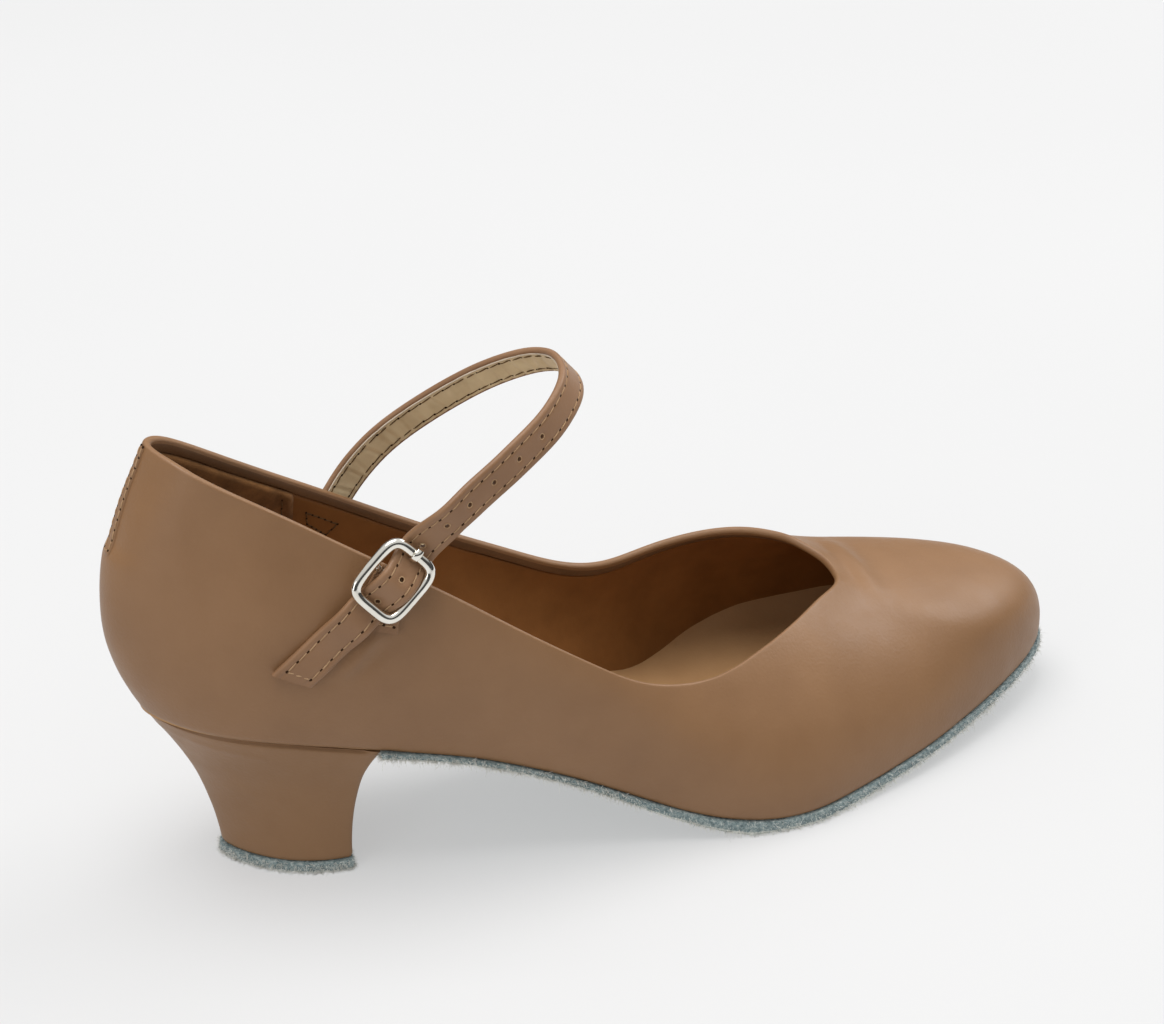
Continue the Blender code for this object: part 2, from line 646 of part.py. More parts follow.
def main():
    """Build every piece of the shoe."""
    clear_scene()
    tree = upper_tree()
    axes = buckle_axes(tree)
    upper_leather = make_material("upper_leather", (0.30, 0.17, 0.11), 0.5)
    heel_leather = make_material("heel_leather", (0.28, 0.16, 0.10), 0.5)
    strap_leather = make_material("strap_leather", (0.32, 0.18, 0.12), 0.5)
    suede = make_material("sole_suede", (0.30, 0.36, 0.39), 0.95)
    sock = make_material("insole_sock", (0.42, 0.29, 0.18), 0.7)
    metal = make_material("buckle_metal", (0.8, 0.8, 0.78), 0.2, 1.0)
    stand_on_origin([
        make_upper(upper_leather),
        make_outsole(suede),
        make_insole(sock),
        make_heel(heel_leather),
        make_heel_lift(suede),
        make_strap(tree, strap_leather),
        make_buckle_frame(axes, metal),
        make_buckle_clip(axes, metal),
        make_buckle_tab(axes, strap_leather),
    ])


main()
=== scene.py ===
from collections import namedtuple

import bpy
import bmesh
import numpy as np
from mathutils import Matrix, Vector
from mathutils.bvhtree import BVHTree


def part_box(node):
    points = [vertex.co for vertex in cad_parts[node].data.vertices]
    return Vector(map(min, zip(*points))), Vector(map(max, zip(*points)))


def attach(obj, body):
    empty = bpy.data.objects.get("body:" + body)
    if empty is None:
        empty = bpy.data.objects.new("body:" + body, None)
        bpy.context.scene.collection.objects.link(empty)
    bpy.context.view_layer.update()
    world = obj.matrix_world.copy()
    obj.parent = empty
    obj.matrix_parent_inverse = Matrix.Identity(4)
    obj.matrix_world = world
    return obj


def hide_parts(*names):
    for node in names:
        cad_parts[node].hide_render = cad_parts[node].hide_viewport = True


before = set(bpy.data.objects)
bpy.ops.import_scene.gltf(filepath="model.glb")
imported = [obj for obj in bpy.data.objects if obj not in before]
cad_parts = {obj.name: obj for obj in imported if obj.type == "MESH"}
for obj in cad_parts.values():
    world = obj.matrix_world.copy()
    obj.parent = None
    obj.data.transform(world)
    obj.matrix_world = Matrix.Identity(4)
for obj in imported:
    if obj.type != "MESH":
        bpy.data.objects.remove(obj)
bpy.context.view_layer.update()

MM = 0.001
LIFT_BACK = 18.6        # back of the heel lift in the shoe's own frame
lift_low, lift_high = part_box("heel_lift")
SHIFT = np.array([lift_low[0] / MM - LIFT_BACK, (lift_low[1] + lift_high[1]) / 2 / MM, 0.0])

# Values shared with the part's source
GAP = 0.3
WALL = 1.8
INSOLE_THICK = 4.6
SOLE_OUTSET = 0.5
LIFT_THICK = 2.6
LIFT_OUTSET = 0.6
RIB_COUNT = 80
RIB_STEPS = 12
STRAP_WIDTH = 8.4
STRAP_THICK = 1.6
TAIL_SKEW = 0.44
ROUTE_ACROSS = (0.64, 0.16, -0.75)
ROUTE_MIDDLE = (68.0, 0.0, 80.0)
STRAP_SEAT = STRAP_THICK / 2 + GAP
BUCKLE_LENGTH = 16.9
BUCKLE_WIDTH = 14.2
BUCKLE_WIRE = 1.05
BAR_RADIUS = 0.7
BAR_DROP = 1.3
BUCKLE_X = 53.0
BUCKLE_Z = 76.0
CLIP_THICK = 0.5
TAB_WIDTH = 8.0
TAB_THICK = 1.0
TAB_EYE = 0.7
TAB_LENGTH = 10.4
TAB_SHIFT = 0.7
TAB_TURN = 30.0
PLATE_TOP = GAP + TAB_THICK
WEAVE_LOW = PLATE_TOP + STRAP_SEAT
FRAME_LIFT = WEAVE_LOW + STRAP_SEAT + BUCKLE_WIRE
BAR_LIFT = FRAME_LIFT - BAR_DROP
EYE_RADIUS = BAR_RADIUS + GAP + TAB_EYE
WEAVE_HIGH = BAR_LIFT + EYE_RADIUS + STRAP_SEAT
WEAVE_REACH = BUCKLE_LENGTH / 2 - BUCKLE_WIRE
WEAVE_END = 12.0
WEAVE_ROWS = ((-WEAVE_REACH, 0.4, WEAVE_LOW), (0.0, 0.6, WEAVE_HIGH), (WEAVE_REACH, 0.4, WEAVE_LOW),
              (WEAVE_END, 0.2, WEAVE_LOW))

# Sole profile: x, height of the seam with the upper, thickness of the outsole
SOLE_PROFILE = np.array((
    (0.0, 41.4, 2.0), (12.0, 40.2, 2.0), (30.0, 37.8, 2.0), (51.0, 32.5, 1.5), (66.0, 29.3, 1.5),
    (80.0, 24.8, 1.6), (92.0, 19.9, 1.8), (104.0, 14.2, 2.2), (114.0, 9.4, 2.7), (124.0, 5.6, 3.0),
    (136.0, 3.3, 3.7), (150.0, 3.1, 3.2), (164.0, 3.9, 2.9), (178.0, 5.3, 2.6), (192.0, 7.0, 2.4),
    (208.0, 9.2, 2.2), (222.0, 11.2, 2.0), (234.0, 12.9, 1.9),
))

# Ribs of the upper: foot x and y, top x, y and z, lean, rise, roof, reach
RIBS = np.array((
    (3.6, 0.0, 8.4, 0.0, 103.3, 29, 23, 62, 24), (7.0, -8.5, 11.2, -8.0, 102.5, 25, 21, 70, 22),
    (15.0, -16.5, 16.2, -13.6, 99.9, 20, 19, 82, 20), (30.0, -22.6, 28.0, -18.3, 93.4, 20, 19, 80, 18),
    (48.0, -23.8, 46.0, -22.5, 82.2, 21, 18, 76, 16), (66.0, -26.2, 65.0, -26.5, 70.0, 18, 15, 76, 13),
    (84.0, -28.6, 82.0, -29.2, 58.3, 18, 12, 72, 11), (102.0, -31.2, 98.4, -31.0, 47.4, 16, 10, 66, 9),
    (119.0, -34.6, 112.0, -30.8, 40.0, 15, 10, 60, 9), (134.0, -38.0, 127.0, -28.0, 37.0, 14, 10, 50, 10),
    (148.0, -38.6, 140.0, -23.5, 38.4, 12, 10, 42, 12), (164.0, -34.2, 153.0, -16.5, 40.4, 10, 12, 36, 15),
    (181.0, -28.2, 162.5, -9.5, 41.0, 8, 14, 33, 18), (198.0, -20.4, 169.0, -4.0, 40.4, 6, 16, 28, 24),
    (213.0, -12.0, 171.8, 0.0, 40.2, 5, 20, 23, 29), (225.0, -2.8, 172.6, 4.0, 40.4, 5, 23, 20, 33),
    (230.8, 7.5, 172.2, 9.0, 41.3, 6, 26, 21, 31), (228.4, 18.0, 170.6, 13.0, 42.2, 6, 26, 26, 25),
    (220.0, 26.8, 168.0, 17.0, 43.3, 7, 24, 33, 19), (205.0, 34.6, 163.0, 20.4, 44.6, 8, 19, 38, 16),
    (188.0, 39.8, 156.0, 23.7, 45.2, 10, 16, 44, 14), (170.0, 41.8, 146.0, 26.4, 44.5, 12, 14, 46, 12),
    (152.0, 39.6, 134.0, 27.7, 42.4, 14, 12, 54, 12), (135.0, 32.6, 122.0, 27.6, 40.4, 16, 12, 62, 11),
    (118.0, 25.2, 110.0, 26.3, 43.4, 17, 12, 68, 10), (100.0, 19.8, 97.0, 25.0, 49.9, 19, 12, 74, 11),
    (82.0, 17.6, 82.0, 23.5, 58.0, 19, 15, 78, 13), (66.0, 18.8, 66.0, 21.5, 67.3, 18, 16, 80, 15),
    (48.0, 21.8, 48.0, 17.8, 78.7, 18, 18, 80, 17), (30.0, 22.6, 30.0, 12.5, 90.5, 18, 18, 80, 19),
    (15.0, 16.5, 17.0, 8.7, 99.1, 18, 19, 78, 20), (7.0, 8.8, 10.9, 5.2, 102.6, 25, 21, 66, 22),
))

# Heel by level: level, back, front, half width, fullness
HEEL_LEVELS = np.array((
    (0.00, 19.2, 44.9, 17.3, 2.1), (0.12, 18.5, 44.9, 17.4, 2.1), (0.32, 16.8, 45.3, 17.8, 2.2),
    (0.54, 14.0, 46.2, 18.8, 2.4), (0.75, 9.9, 47.6, 20.6, 2.7), (0.90, 6.2, 49.4, 22.4, 3.0),
    (1.00, 3.6, 51.0, 23.6, 3.2),
))
HEEL_ROUND = 0.74

# Strap's centreline: seat rows by x, z and lift on a quarter, free rows by x, y, z
INNER_ROWS = ((45.0, 61.0), (51.5, 67.2))
TAIL_ROWS = ((40.2, 64.4), (35.4, 60.4), (30.6, 56.4))
FREE_ROWS = (
    (57.5, 23.2, 74.3), (66.6, 23.4, 83.7), (73.6, 21.8, 89.2), (81.3, 18.8, 94.8), (87.8, 15.1, 99.5),
    (93.4, 10.5, 103.4), (98.0, 5.6, 106.2), (100.9, 0.0, 107.6), (101.0, -6.1, 107.6), (98.9, -12.2, 106.7),
    (95.5, -16.4, 104.8), (90.6, -20.2, 102.2), (84.4, -23.5, 99.4), (77.9, -26.3, 96.4),
    (71.2, -28.3, 92.9), (65.4, -29.5, 89.2),
)

# Finer sizes that only the dressed pieces have
FINE_RIBS = 560
EDGE_BAND = 2.6         # folded edge of the upper's leather, seen inside the topline
BAND_SWELL = 0.25       # fullness of that edge
BAND_START = 1          # first step down the folded edge that lies in shade, from where its leather is darker: painted shade
TOP_FADE = 6.0          # length below the topline over which the outer relief fades in
SKIN_DEPTH = 1.0        # thickness of the outer leather where the lining covers it
PAD_THICK = 1.1         # heel grip pad
PAD_FRONT = 43.5        # how far forward the pad reaches, by x of the ribs' feet
STRIP_REACH = 1.1       # half width of the back strip, in fine ribs
STRIP_THICK = 0.45
STRIP_LOW = 79.5        # height of the back strip's lower end
FACE_HEIGHT = 0.78      # the strap's outer face above its centreline
STITCH_ROW = 2.5        # rows of stitches to each side of the strap's middle
STITCH_PITCH = 3.05     # length from stitch to stitch along those rows
CROSS_PITCH = 1.7       # stitches across the strap and where it is fastened
THREAD_RADIUS = 0.17
THREAD_SLANT = 0.12     # sideways lean of each stitch
THREAD_GAP = 0.12       # bare length at each of its ends
THREAD_ARCH = 0.16      # rise of its middle, and how deep it is sunk
THREAD_SINK = 0.10
SEW_START = 2.0         # where the strap's stitches begin, and how far from its end they stop
SEW_END = 1.9
SEW_BOX = 10.5          # second row across the strap, where the box on the quarter ends
SLANT_LENGTH = 14.0     # length over which the tail's end takes its slant
WRINKLES = (12.0, 158.0)    # places along the strap between which its lining is wrinkled
WRINKLE_FADE = 105.0    # the wrinkles are fainter beyond this place
HOLE_PLACES = (109.0, 116.5, 124.1, 131.2, 137.4, 144.6, 154.3, 161.4)
HOLE_RADIUS = 0.55
HOLE_DENT = 1.15        # reach of the dent round a punched hole
RING_ROUND = 4.6        # squareness of the buckle's outline
RING_INSET = 0.15       # how far that outline is drawn in
RING_SIDES = 20         # places round the buckle's wire
CLIP_HALF = 0.78        # half width of the clip
SOLE_START = 50.2       # back end of the outsole
STRAY_FROM = 0.985      # fibres drawn above this are strays, longer than the others
STRAY_STRETCH = 2.2
SPINE_ENDS = (24.0, 205.0)  # x of the ends of the sock's middle line
SOCK_CUP = 4.5          # width over which the sock curves up to the lining
PLAN_STEPS = 240        # places round the buckle's and the heel's outlines

# Climb of the sock up the lining on the inner side, by x
SOCK_RISE = (
    (0.0, 0.7), (100.0, 0.3), (120.0, -0.7), (129.0, -1.4), (134.0, -1.2), (142.5, 0.2), (151.5, 2.5),
    (160.0, 4.2), (168.0, 5.1), (176.0, 4.7), (183.0, 4.4), (190.0, 4.6), (200.0, 3.0), (215.0, 0.8),
    (240.0, 0.7))

# Creases placed on the upper: two ends, width, depth (negative raises a fold)
CREASES = (
    (179.0, 22.0, 38.0, 179.5, -6.0, 37.0, 2.8, -0.90),
    (185.0, 20.0, 37.0, 185.0, -3.0, 36.2, 4.0, 0.28),
    (175.7, 18.0, 39.6, 175.9, -2.0, 39.0, 1.8, 0.40),
    (41.0, -26.8, 55.5, 49.5, -26.7, 63.5, 1.3, -0.95),
    (44.5, -27.0, 54.5, 52.5, -26.9, 61.5, 1.5, 0.40),
    (150.0, 27.5, 44.0, 158.0, 36.0, 36.0, 2.6, 0.20),
    (128.0, -29.5, 36.5, 136.0, -35.0, 30.0, 3.0, 0.20),
    (8.5, -14.0, 83.0, 9.5, -15.0, 66.0, 1.4, 0.14),
    (12.0, -17.0, 86.0, 12.5, -18.0, 70.0, 1.6, -0.12),
    (15.5, -18.5, 80.0, 15.0, -19.5, 64.0, 1.5, 0.10),
    (7.0, -10.0, 46.0, 24.0, -21.5, 42.5, 1.3, 0.22),
    (7.0, 10.0, 46.0, 24.0, 21.5, 42.5, 1.3, 0.22),
)


def curve_through(knots, rows, where, closed=False):
    """Smooth curve through rows at knots, read at the places in where."""
    knots = np.asarray(knots, float)
    rows = np.asarray(rows, float).reshape(len(knots), -1)
    steps = np.diff(knots)
    slopes = np.diff(rows, axis=0) / steps[:, None]
    count = len(knots)
    system = np.eye(count)
    bends = np.zeros_like(rows)
    for i in range(1, count - 1):
        system[i, i - 1:i + 2] = steps[i - 1], 2 * (steps[i - 1] + steps[i]), steps[i]
        bends[i] = 6 * (slopes[i] - slopes[i - 1])
    if closed:
        system[0, [0, 1, count - 2]] = 2 * (steps[0] + steps[-1]), steps[0], steps[-1]
        bends[0] = 6 * (slopes[0] - slopes[-1])
        system[-1, 0] = -1
    bends = np.linalg.solve(system, bends)
    where = np.asarray(where, float)
    i = np.clip(np.searchsorted(knots, where, side="right") - 1, 0, count - 2)
    ahead = (where - knots[i])[:, None]
    step = steps[i][:, None]
    slope = slopes[i] - step * (2 * bends[i] + bends[i + 1]) / 6
    curl = (bends[i + 1] - bends[i]) / (6 * step)
    return rows[i] + ahead * (slope + ahead * (bends[i] / 2 + ahead * curl))


def sole_top(x):
    """Height of the sole's upper face at x."""
    return curve_through(SOLE_PROFILE[:, 0], SOLE_PROFILE[:, 1], np.atleast_1d(x))[:, 0]


def sole_bottom(x):
    """Height of the outsole's underside, flat on the floor under the ball."""
    thick = curve_through(SOLE_PROFILE[:, 0], SOLE_PROFILE[:, 2], np.atleast_1d(x))[:, 0]
    return np.maximum(sole_top(x) - thick, 0.0)


def unit(vectors):
    """Vectors scaled to length one."""
    return vectors / np.linalg.norm(vectors, axis=-1, keepdims=True)


def run_along(path):
    """Length run up to each point of a path."""
    return np.concatenate([[0.0], np.cumsum(np.linalg.norm(np.diff(path, axis=0), axis=1))])


def read_rows(where, knots, rows):
    """Rows at knots, read straight between them at the places in where."""
    return np.stack([np.interp(where, knots, column) for column in rows.T], -1)


def turns(count):
    """Angles at even steps round a full turn."""
    return np.arange(count) / count * 2 * np.pi


def around(angles, first, second):
    """Directions at angles from the first axis toward the second."""
    angles = np.asarray(angles)[..., None]
    return np.cos(angles) * first + np.sin(angles) * second


def read_ribs(count):
    """Rib values at count places round the upper, with the outward direction of the sole's edge."""
    closed = np.vstack([RIBS, RIBS[:1]])
    knots = run_along(closed[:, :2])
    places = np.arange(count) / count * knots[-1]
    values = curve_through(knots, closed, places, closed=True)
    nudge = 0.01
    ahead = curve_through(knots, closed, places + nudge, closed=True)
    along = unit(ahead[:, :2] - values[:, :2])
    outward = np.stack([along[:, 1], -along[:, 0], np.zeros(count)], 1)
    return values, outward


def upper_face(count, steps):
    """Outer face of the upper as a grid of points: ribs round the shoe, steps from sole to topline."""
    values, outward = read_ribs(count)
    up = np.array([0.0, 0.0, 1.0])
    foot = np.column_stack([values[:, 0], values[:, 1], sole_top(values[:, 0]) + GAP])
    top = values[:, 2:5]
    lean = np.radians(values[:, 5:6])
    roof = np.radians(values[:, 7:8])
    low = foot + values[:, 6:7] * (np.cos(lean) * up + np.sin(lean) * outward)
    high = top + values[:, 8:9] * (np.cos(roof) * outward - np.sin(roof) * up)
    t = np.linspace(0.0, 1.0, steps + 1)[None, :, None]
    return ((1 - t) ** 3 * foot[:, None] + 3 * t * (1 - t) ** 2 * low[:, None]
            + 3 * t * t * (1 - t) * high[:, None] + t ** 3 * top[:, None])


def face_normals(grid):
    """Outward normals of a grid whose first direction closes on itself."""
    round_way = np.roll(grid, -1, axis=0) - np.roll(grid, 1, axis=0)
    up_way = np.gradient(grid, axis=1)
    return unit(np.cross(round_way, up_way))


def edge_sides(outset):
    """Outer and inner side of the upper's sole edge moved outward by outset, as x and y with x rising."""
    values, outward = read_ribs(720)
    line = values[:, :2] + outset * outward[:, :2]
    line = np.roll(line, -int(np.argmin(line[:, 0])), axis=0)
    tip = int(np.argmax(line[:, 0]))
    return line[:tip + 1], np.vstack([line[tip:], line[:1]])[::-1]


def smooth_step(low, high, value):
    """0 below low, 1 above high, eased between."""
    t = np.clip((value - low) / (high - low), 0.0, 1.0)
    return t * t * (3 - 2 * t)


# Finishes
def add(tree, kind, inputs=None, **settings):
    """Shader node with its inputs set or linked."""
    item = tree.nodes.new("ShaderNode" + kind)
    for name, value in settings.items():
        setattr(item, name, value)
    for name, value in (inputs or {}).items():
        if isinstance(value, bpy.types.NodeSocket):
            tree.links.new(value, item.inputs[name])
        else:
            item.inputs[name].default_value = value
    return item


def ramp(tree, factor, stops):
    """Colour ramp over a factor, from rows of place and colour."""
    item = add(tree, "ValToRGB", {"Fac": factor})
    bands = item.color_ramp.elements
    while len(bands) < len(stops):
        bands.new(0.5)
    for band, (place, colour) in zip(bands, stops):
        band.position = place
        band.color = (*colour, 1.0)
    return item.outputs["Color"]


def grey(value):
    """Colour of equal parts."""
    return (value, value, value)


def new_material(name, **constants):
    """Principled material with constants on its own sockets; returns it with its tree, shader and places."""
    material = bpy.data.materials.new(name)
    material.use_nodes = True
    tree = material.node_tree
    shader = tree.nodes["Principled BSDF"]
    for socket, value in constants.items():
        shader.inputs[socket.replace("_", " ")].default_value = value
    where = add(tree, "TexCoord").outputs["Object"]
    return material, tree, shader, where


def bump_layers(tree, shader, layers):
    """Bumps laid over each other, from rows of height, strength and distance in millimetres."""
    normal = None
    for height, strength, distance in layers:
        inputs = {"Height": height, "Strength": strength, "Distance": distance * MM}
        if normal is not None:
            inputs["Normal"] = normal
        normal = add(tree, "Bump", inputs).outputs["Normal"]
    tree.links.new(normal, shader.inputs["Normal"])


def noise_of(tree, where, size, detail=2.0, rough=0.5, stretch=None):
    """Noise whose features are about size millimetres across, stretched along some axes."""
    if stretch is not None:
        where = add(tree, "Mapping", {"Vector": where, "Scale": stretch}).outputs["Vector"]
    inputs = {"Vector": where, "Scale": 1.0 / (size * MM), "Detail": detail, "Roughness": rough}
    return add(tree, "TexNoise", inputs).outputs["Fac"]


def cells_of(tree, where, size):
    """Soft cell pattern whose cells are about size millimetres across."""
    inputs = {"Vector": where, "Scale": 1.0 / (size * MM)}
    return add(tree, "TexVoronoi", inputs, feature="SMOOTH_F1").outputs["Distance"]


def surface(finish, name, tone, stops, bumps, **constants):
    """Add a finish: a colour ramp over noise, with bumps as pattern, its values, strength and distance."""
    material, tree, shader, where = new_material(name + "_finish", **constants)
    tree.links.new(ramp(tree, noise_of(tree, where, *tone), stops), shader.inputs["Base Color"])
    if bumps:
        bump_layers(tree, shader, [(pattern(tree, where, *values), strength, distance)
                                   for pattern, *values, strength, distance in bumps])
    finish[name] = material
    return tree, shader, where


def gloss(tree, shader, factor, stops):
    """Roughness that follows a factor, from rows of place and value."""
    tree.links.new(ramp(tree, factor, [(place, grey(value)) for place, value in stops]),
                   shader.inputs["Roughness"])


def leather(finish, name, deep, light, rough=0.44, grain=0.9, wrinkle=0.4):
    """Smooth leather: tone patches, faint pulled wrinkles, pores and a fine grain."""
    tree, shader, where = surface(
        finish, name, (22.0, 3.0, 0.55), ((0.32, deep), (0.68, light)),
        ((noise_of, 2.4, 3.0, 0.55, (1.0, 1.0, 0.45), wrinkle, 0.10),
         (cells_of, 0.75, grain, 0.045), (noise_of, 0.55, 3.0, 0.6, grain, 0.035)),
        Coat_Weight=0.03, Coat_Roughness=0.35, Specular_IOR_Level=0.38)
    gloss(tree, shader, noise_of(tree, where, 6.0, 4.0, 0.6), ((0.3, rough - 0.05), (0.7, rough + 0.06)))


def make_finishes():
    """Every material of the dressed shoe, by a short name."""
    finish = {}
    leather(finish, "upper_leather", (0.232, 0.120, 0.053), (0.264, 0.139, 0.063))
    # darker copy of the upper's leather for the folded edge inside the topline: painted shade
    leather(finish, "band_painted_shade", (0.120, 0.058, 0.024), (0.150, 0.074, 0.032))
    leather(finish, "heel_leather", (0.228, 0.118, 0.050), (0.256, 0.134, 0.058), grain=0.7)
    leather(finish, "strap_leather", (0.235, 0.122, 0.058), (0.285, 0.156, 0.080), rough=0.42, wrinkle=0.25)
    surface(finish, "lining", (14.0, 4.0, 0.6), ((0.3, (0.185, 0.072, 0.015)), (0.7, (0.250, 0.103, 0.026))),
            ((noise_of, 1.1, 4.0, 0.65, 0.5, 0.05), (cells_of, 0.5, 0.35, 0.03)),
            Specular_IOR_Level=0.3, Roughness=0.62)
    surface(finish, "pad", (7.0, 5.0, 0.7), ((0.3, (0.100, 0.042, 0.012)), (0.7, (0.260, 0.120, 0.040))),
            ((noise_of, 1.4, 5.0, 0.75, 0.7, 0.12), (noise_of, 0.3, 2.0, 0.7, 0.5, 0.05)),
            Specular_IOR_Level=0.15, Roughness=0.92, Sheen_Weight=0.08, Sheen_Roughness=0.5)
    surface(finish, "sock", (18.0, 4.0, 0.6), ((0.3, (0.40, 0.222, 0.098)), (0.7, (0.46, 0.265, 0.122))),
            ((noise_of, 0.8, 3.0, 0.6, 0.4, 0.04), (cells_of, 0.6, 0.3, 0.025)),
            Specular_IOR_Level=0.3, Roughness=0.6)
    surface(finish, "strap_lining", (5.0, 3.0, 0.5),
            ((0.3, (0.60, 0.465, 0.275)), (0.7, (0.72, 0.58, 0.36))),
            ((noise_of, 0.7, 3.0, 0.6, 0.35, 0.03),), Specular_IOR_Level=0.35, Roughness=0.5)
    for name, low, middle, high in (
            ("suede", (0.095, 0.140, 0.150), (0.255, 0.325, 0.328), (0.56, 0.60, 0.575)),
            ("suede_pale", (0.34, 0.39, 0.37), (0.70, 0.72, 0.67), (0.92, 0.92, 0.87))):
        surface(finish, name, (0.9, 5.0, 0.8), ((0.36, low), (0.52, middle), (0.66, high)),
                ((noise_of, 0.6, 5.0, 0.8, 0.8, 0.25), (noise_of, 0.2, 2.0, 0.7, 0.6, 0.1)),
                Specular_IOR_Level=0.15, Roughness=0.95, Sheen_Weight=0.25, Sheen_Roughness=0.5)
    for name, low, high in (("fibre_pale", (0.74, 0.73, 0.67), (0.90, 0.90, 0.86)),
                            ("fibre_blue", (0.23, 0.29, 0.295), (0.56, 0.61, 0.59)),
                            ("cream", (0.62, 0.52, 0.40), (0.72, 0.62, 0.50)),
                            ("thread", (0.35, 0.215, 0.115), (0.46, 0.295, 0.165)),
                            ("thread_dark", (0.10, 0.055, 0.022), (0.16, 0.090, 0.038))):
        surface(finish, name, (1.5, 2.0), ((0.3, low), (0.7, high)), ((noise_of, 0.12, 1.0, 0.4, 0.03),),
                Roughness=0.8, Specular_IOR_Level=0.2)
    # nearly black discs in the stitch holes: painted shade
    surface(finish, "needle_hole_shade", (0.3,), ((0.3, (0.022, 0.010, 0.004)), (0.7, (0.050, 0.024, 0.011))), (),
            Roughness=0.9, Specular_IOR_Level=0.1)
    tree, shader, where = surface(
        finish, "buckle", (3.0,), ((0.3, (0.80, 0.77, 0.69)), (0.7, (0.88, 0.86, 0.80))),
        ((noise_of, 1.5, 2.0, 0.25, 0.03),), Metallic=1.0)
    gloss(tree, shader, noise_of(tree, where, 1.2, 4.0, 0.7), ((0.35, 0.05), (0.75, 0.13)))
    return finish


# Meshes
def mesh_of(name, points, faces, materials=(), tints=None):
    """Mesh from millimetre points, its faces turned outward."""
    mesh = bpy.data.meshes.new(name)
    mesh.from_pydata(((np.asarray(points, float) + SHIFT) * MM).tolist(), [], faces)
    for material in materials:
        mesh.materials.append(material)
    if tints is not None:
        mesh.polygons.foreach_set("material_index", np.asarray(tints, np.int32))
    work = bmesh.new()
    work.from_mesh(mesh)
    bmesh.ops.recalc_face_normals(work, faces=work.faces)
    work.to_mesh(mesh)
    work.free()
    return mesh


def link(name, data):
    """New object in the scene."""
    item = bpy.data.objects.new(name, data)
    bpy.context.collection.objects.link(item)
    return item


def make_object(name, node, points, faces, materials, smooth_angle=50, tints=None):
    """Named piece that rides on the shoe and stands for a node of the part."""
    mesh = mesh_of(name, points, faces, materials, tints)
    mesh.shade_smooth()
    mesh.set_sharp_from_angle(angle=np.radians(smooth_angle))
    item = link(name, mesh)
    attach(item, "root")
    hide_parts(node)
    return item


def skin_faces(rings, ring_size, close_rings=False, first=0):
    """Quads between successive closed rings of points."""
    faces = []
    spans = rings if close_rings else rings - 1
    for a in range(spans):
        b = (a + 1) % rings
        for i in range(ring_size):
            j = (i + 1) % ring_size
            faces.append((first + a * ring_size + i, first + a * ring_size + j,
                          first + b * ring_size + j, first + b * ring_size + i))
    return faces


def tube_faces(rings, ring_size, first=0):
    """Quads between successive rings of points, and a face over each end."""
    last = first + (rings - 1) * ring_size
    ends = [tuple(range(first, first + ring_size)), tuple(range(last, last + ring_size))]
    return skin_faces(rings, ring_size, first=first) + ends


def strip_cap(first, count):
    """Faces that close a ring of mirrored pairs, straight across from pair to pair."""
    faces = []
    for i in range(count // 2):
        j = count - 1 - i
        if j - i > 2:
            faces.append((first + i, first + i + 1, first + j - 1, first + j))
        elif j - i == 2:
            faces.append((first + i, first + i + 1, first + j))
    return faces


def waves(points, size, seed, octaves=3):
    """Soft random relief about -1 to 1, the same each run, with features of about size millimetres."""
    draw = np.random.default_rng(seed)
    total = np.zeros(points.shape[:-1])
    for octave in range(octaves):
        for _ in range(5):
            direction = unit(draw.normal(size=3))
            phase = draw.uniform(0, 2 * np.pi)
            bend = unit(draw.normal(size=3))
            scale = 2 ** octave
            warp = np.sin(points @ bend * (2.2 / size) * scale + phase)
            total += np.sin(points @ direction * (6.28 / size) * scale + phase + 1.3 * warp) / (5 * scale)
    return total


def crease_relief(points):
    """Depth of the listed creases at points."""
    depth = np.zeros(points.shape[:-1])
    for row in CREASES:
        start, end = np.array(row[:3]), np.array(row[3:6])
        run = end - start
        t = np.clip((points - start) @ run / (run @ run), 0.0, 1.0)
        away = np.linalg.norm(points - start - t[..., None] * run, axis=-1)
        fade = np.sin(np.pi * np.clip(t, 0.02, 0.98)) ** 0.5
        depth += row[7] * fade * np.exp(-(away / row[6]) ** 2)
    return depth


# Upper
Wall = namedtuple("Wall", "grid normals run total")


def read_wall():
    """Fine grid of the upper's outer face, with the length run up each rib."""
    grid = upper_face(FINE_RIBS, 160)
    steps = np.linalg.norm(np.diff(grid, axis=1), axis=2)
    run = np.concatenate([np.zeros((FINE_RIBS, 1)), np.cumsum(steps, axis=1)], axis=1)
    return Wall(grid, face_normals(grid), run, run[:, -1])


def wall_at(wall, runs):
    """Points and normals of the wall at lengths up each rib, one row of lengths for each rib."""
    points = np.empty((*runs.shape, 3))
    normals = np.empty_like(points)
    for rib, places in enumerate(runs):
        points[rib] = read_rows(places, wall.run[rib], wall.grid[rib])
        normals[rib] = read_rows(places, wall.run[rib], wall.normals[rib])
    return points, unit(normals)


def under_wall(wall, runs, depth):
    """Points a depth below the wall's outer face."""
    points, normals = wall_at(wall, runs)
    return points - depth * normals


def back_bulge(points):
    """Seam allowance under the back strip, and the heel counter's edge."""
    near = np.exp(-(points[..., 1] / 7.5) ** 2) * (points[..., 0] < 30)
    z = points[..., 2]
    step = smooth_step(83.0, 78.5, z) * smooth_step(40.0, 66.0, z)
    return near * (0.75 * step - 0.25 * smooth_step(79.0, 84.0, z))


def outer_relief(points):
    """Relief of the outer leather, outward."""
    return 0.10 * waves(points, 26.0, 3, 2) - crease_relief(points) + back_bulge(points)


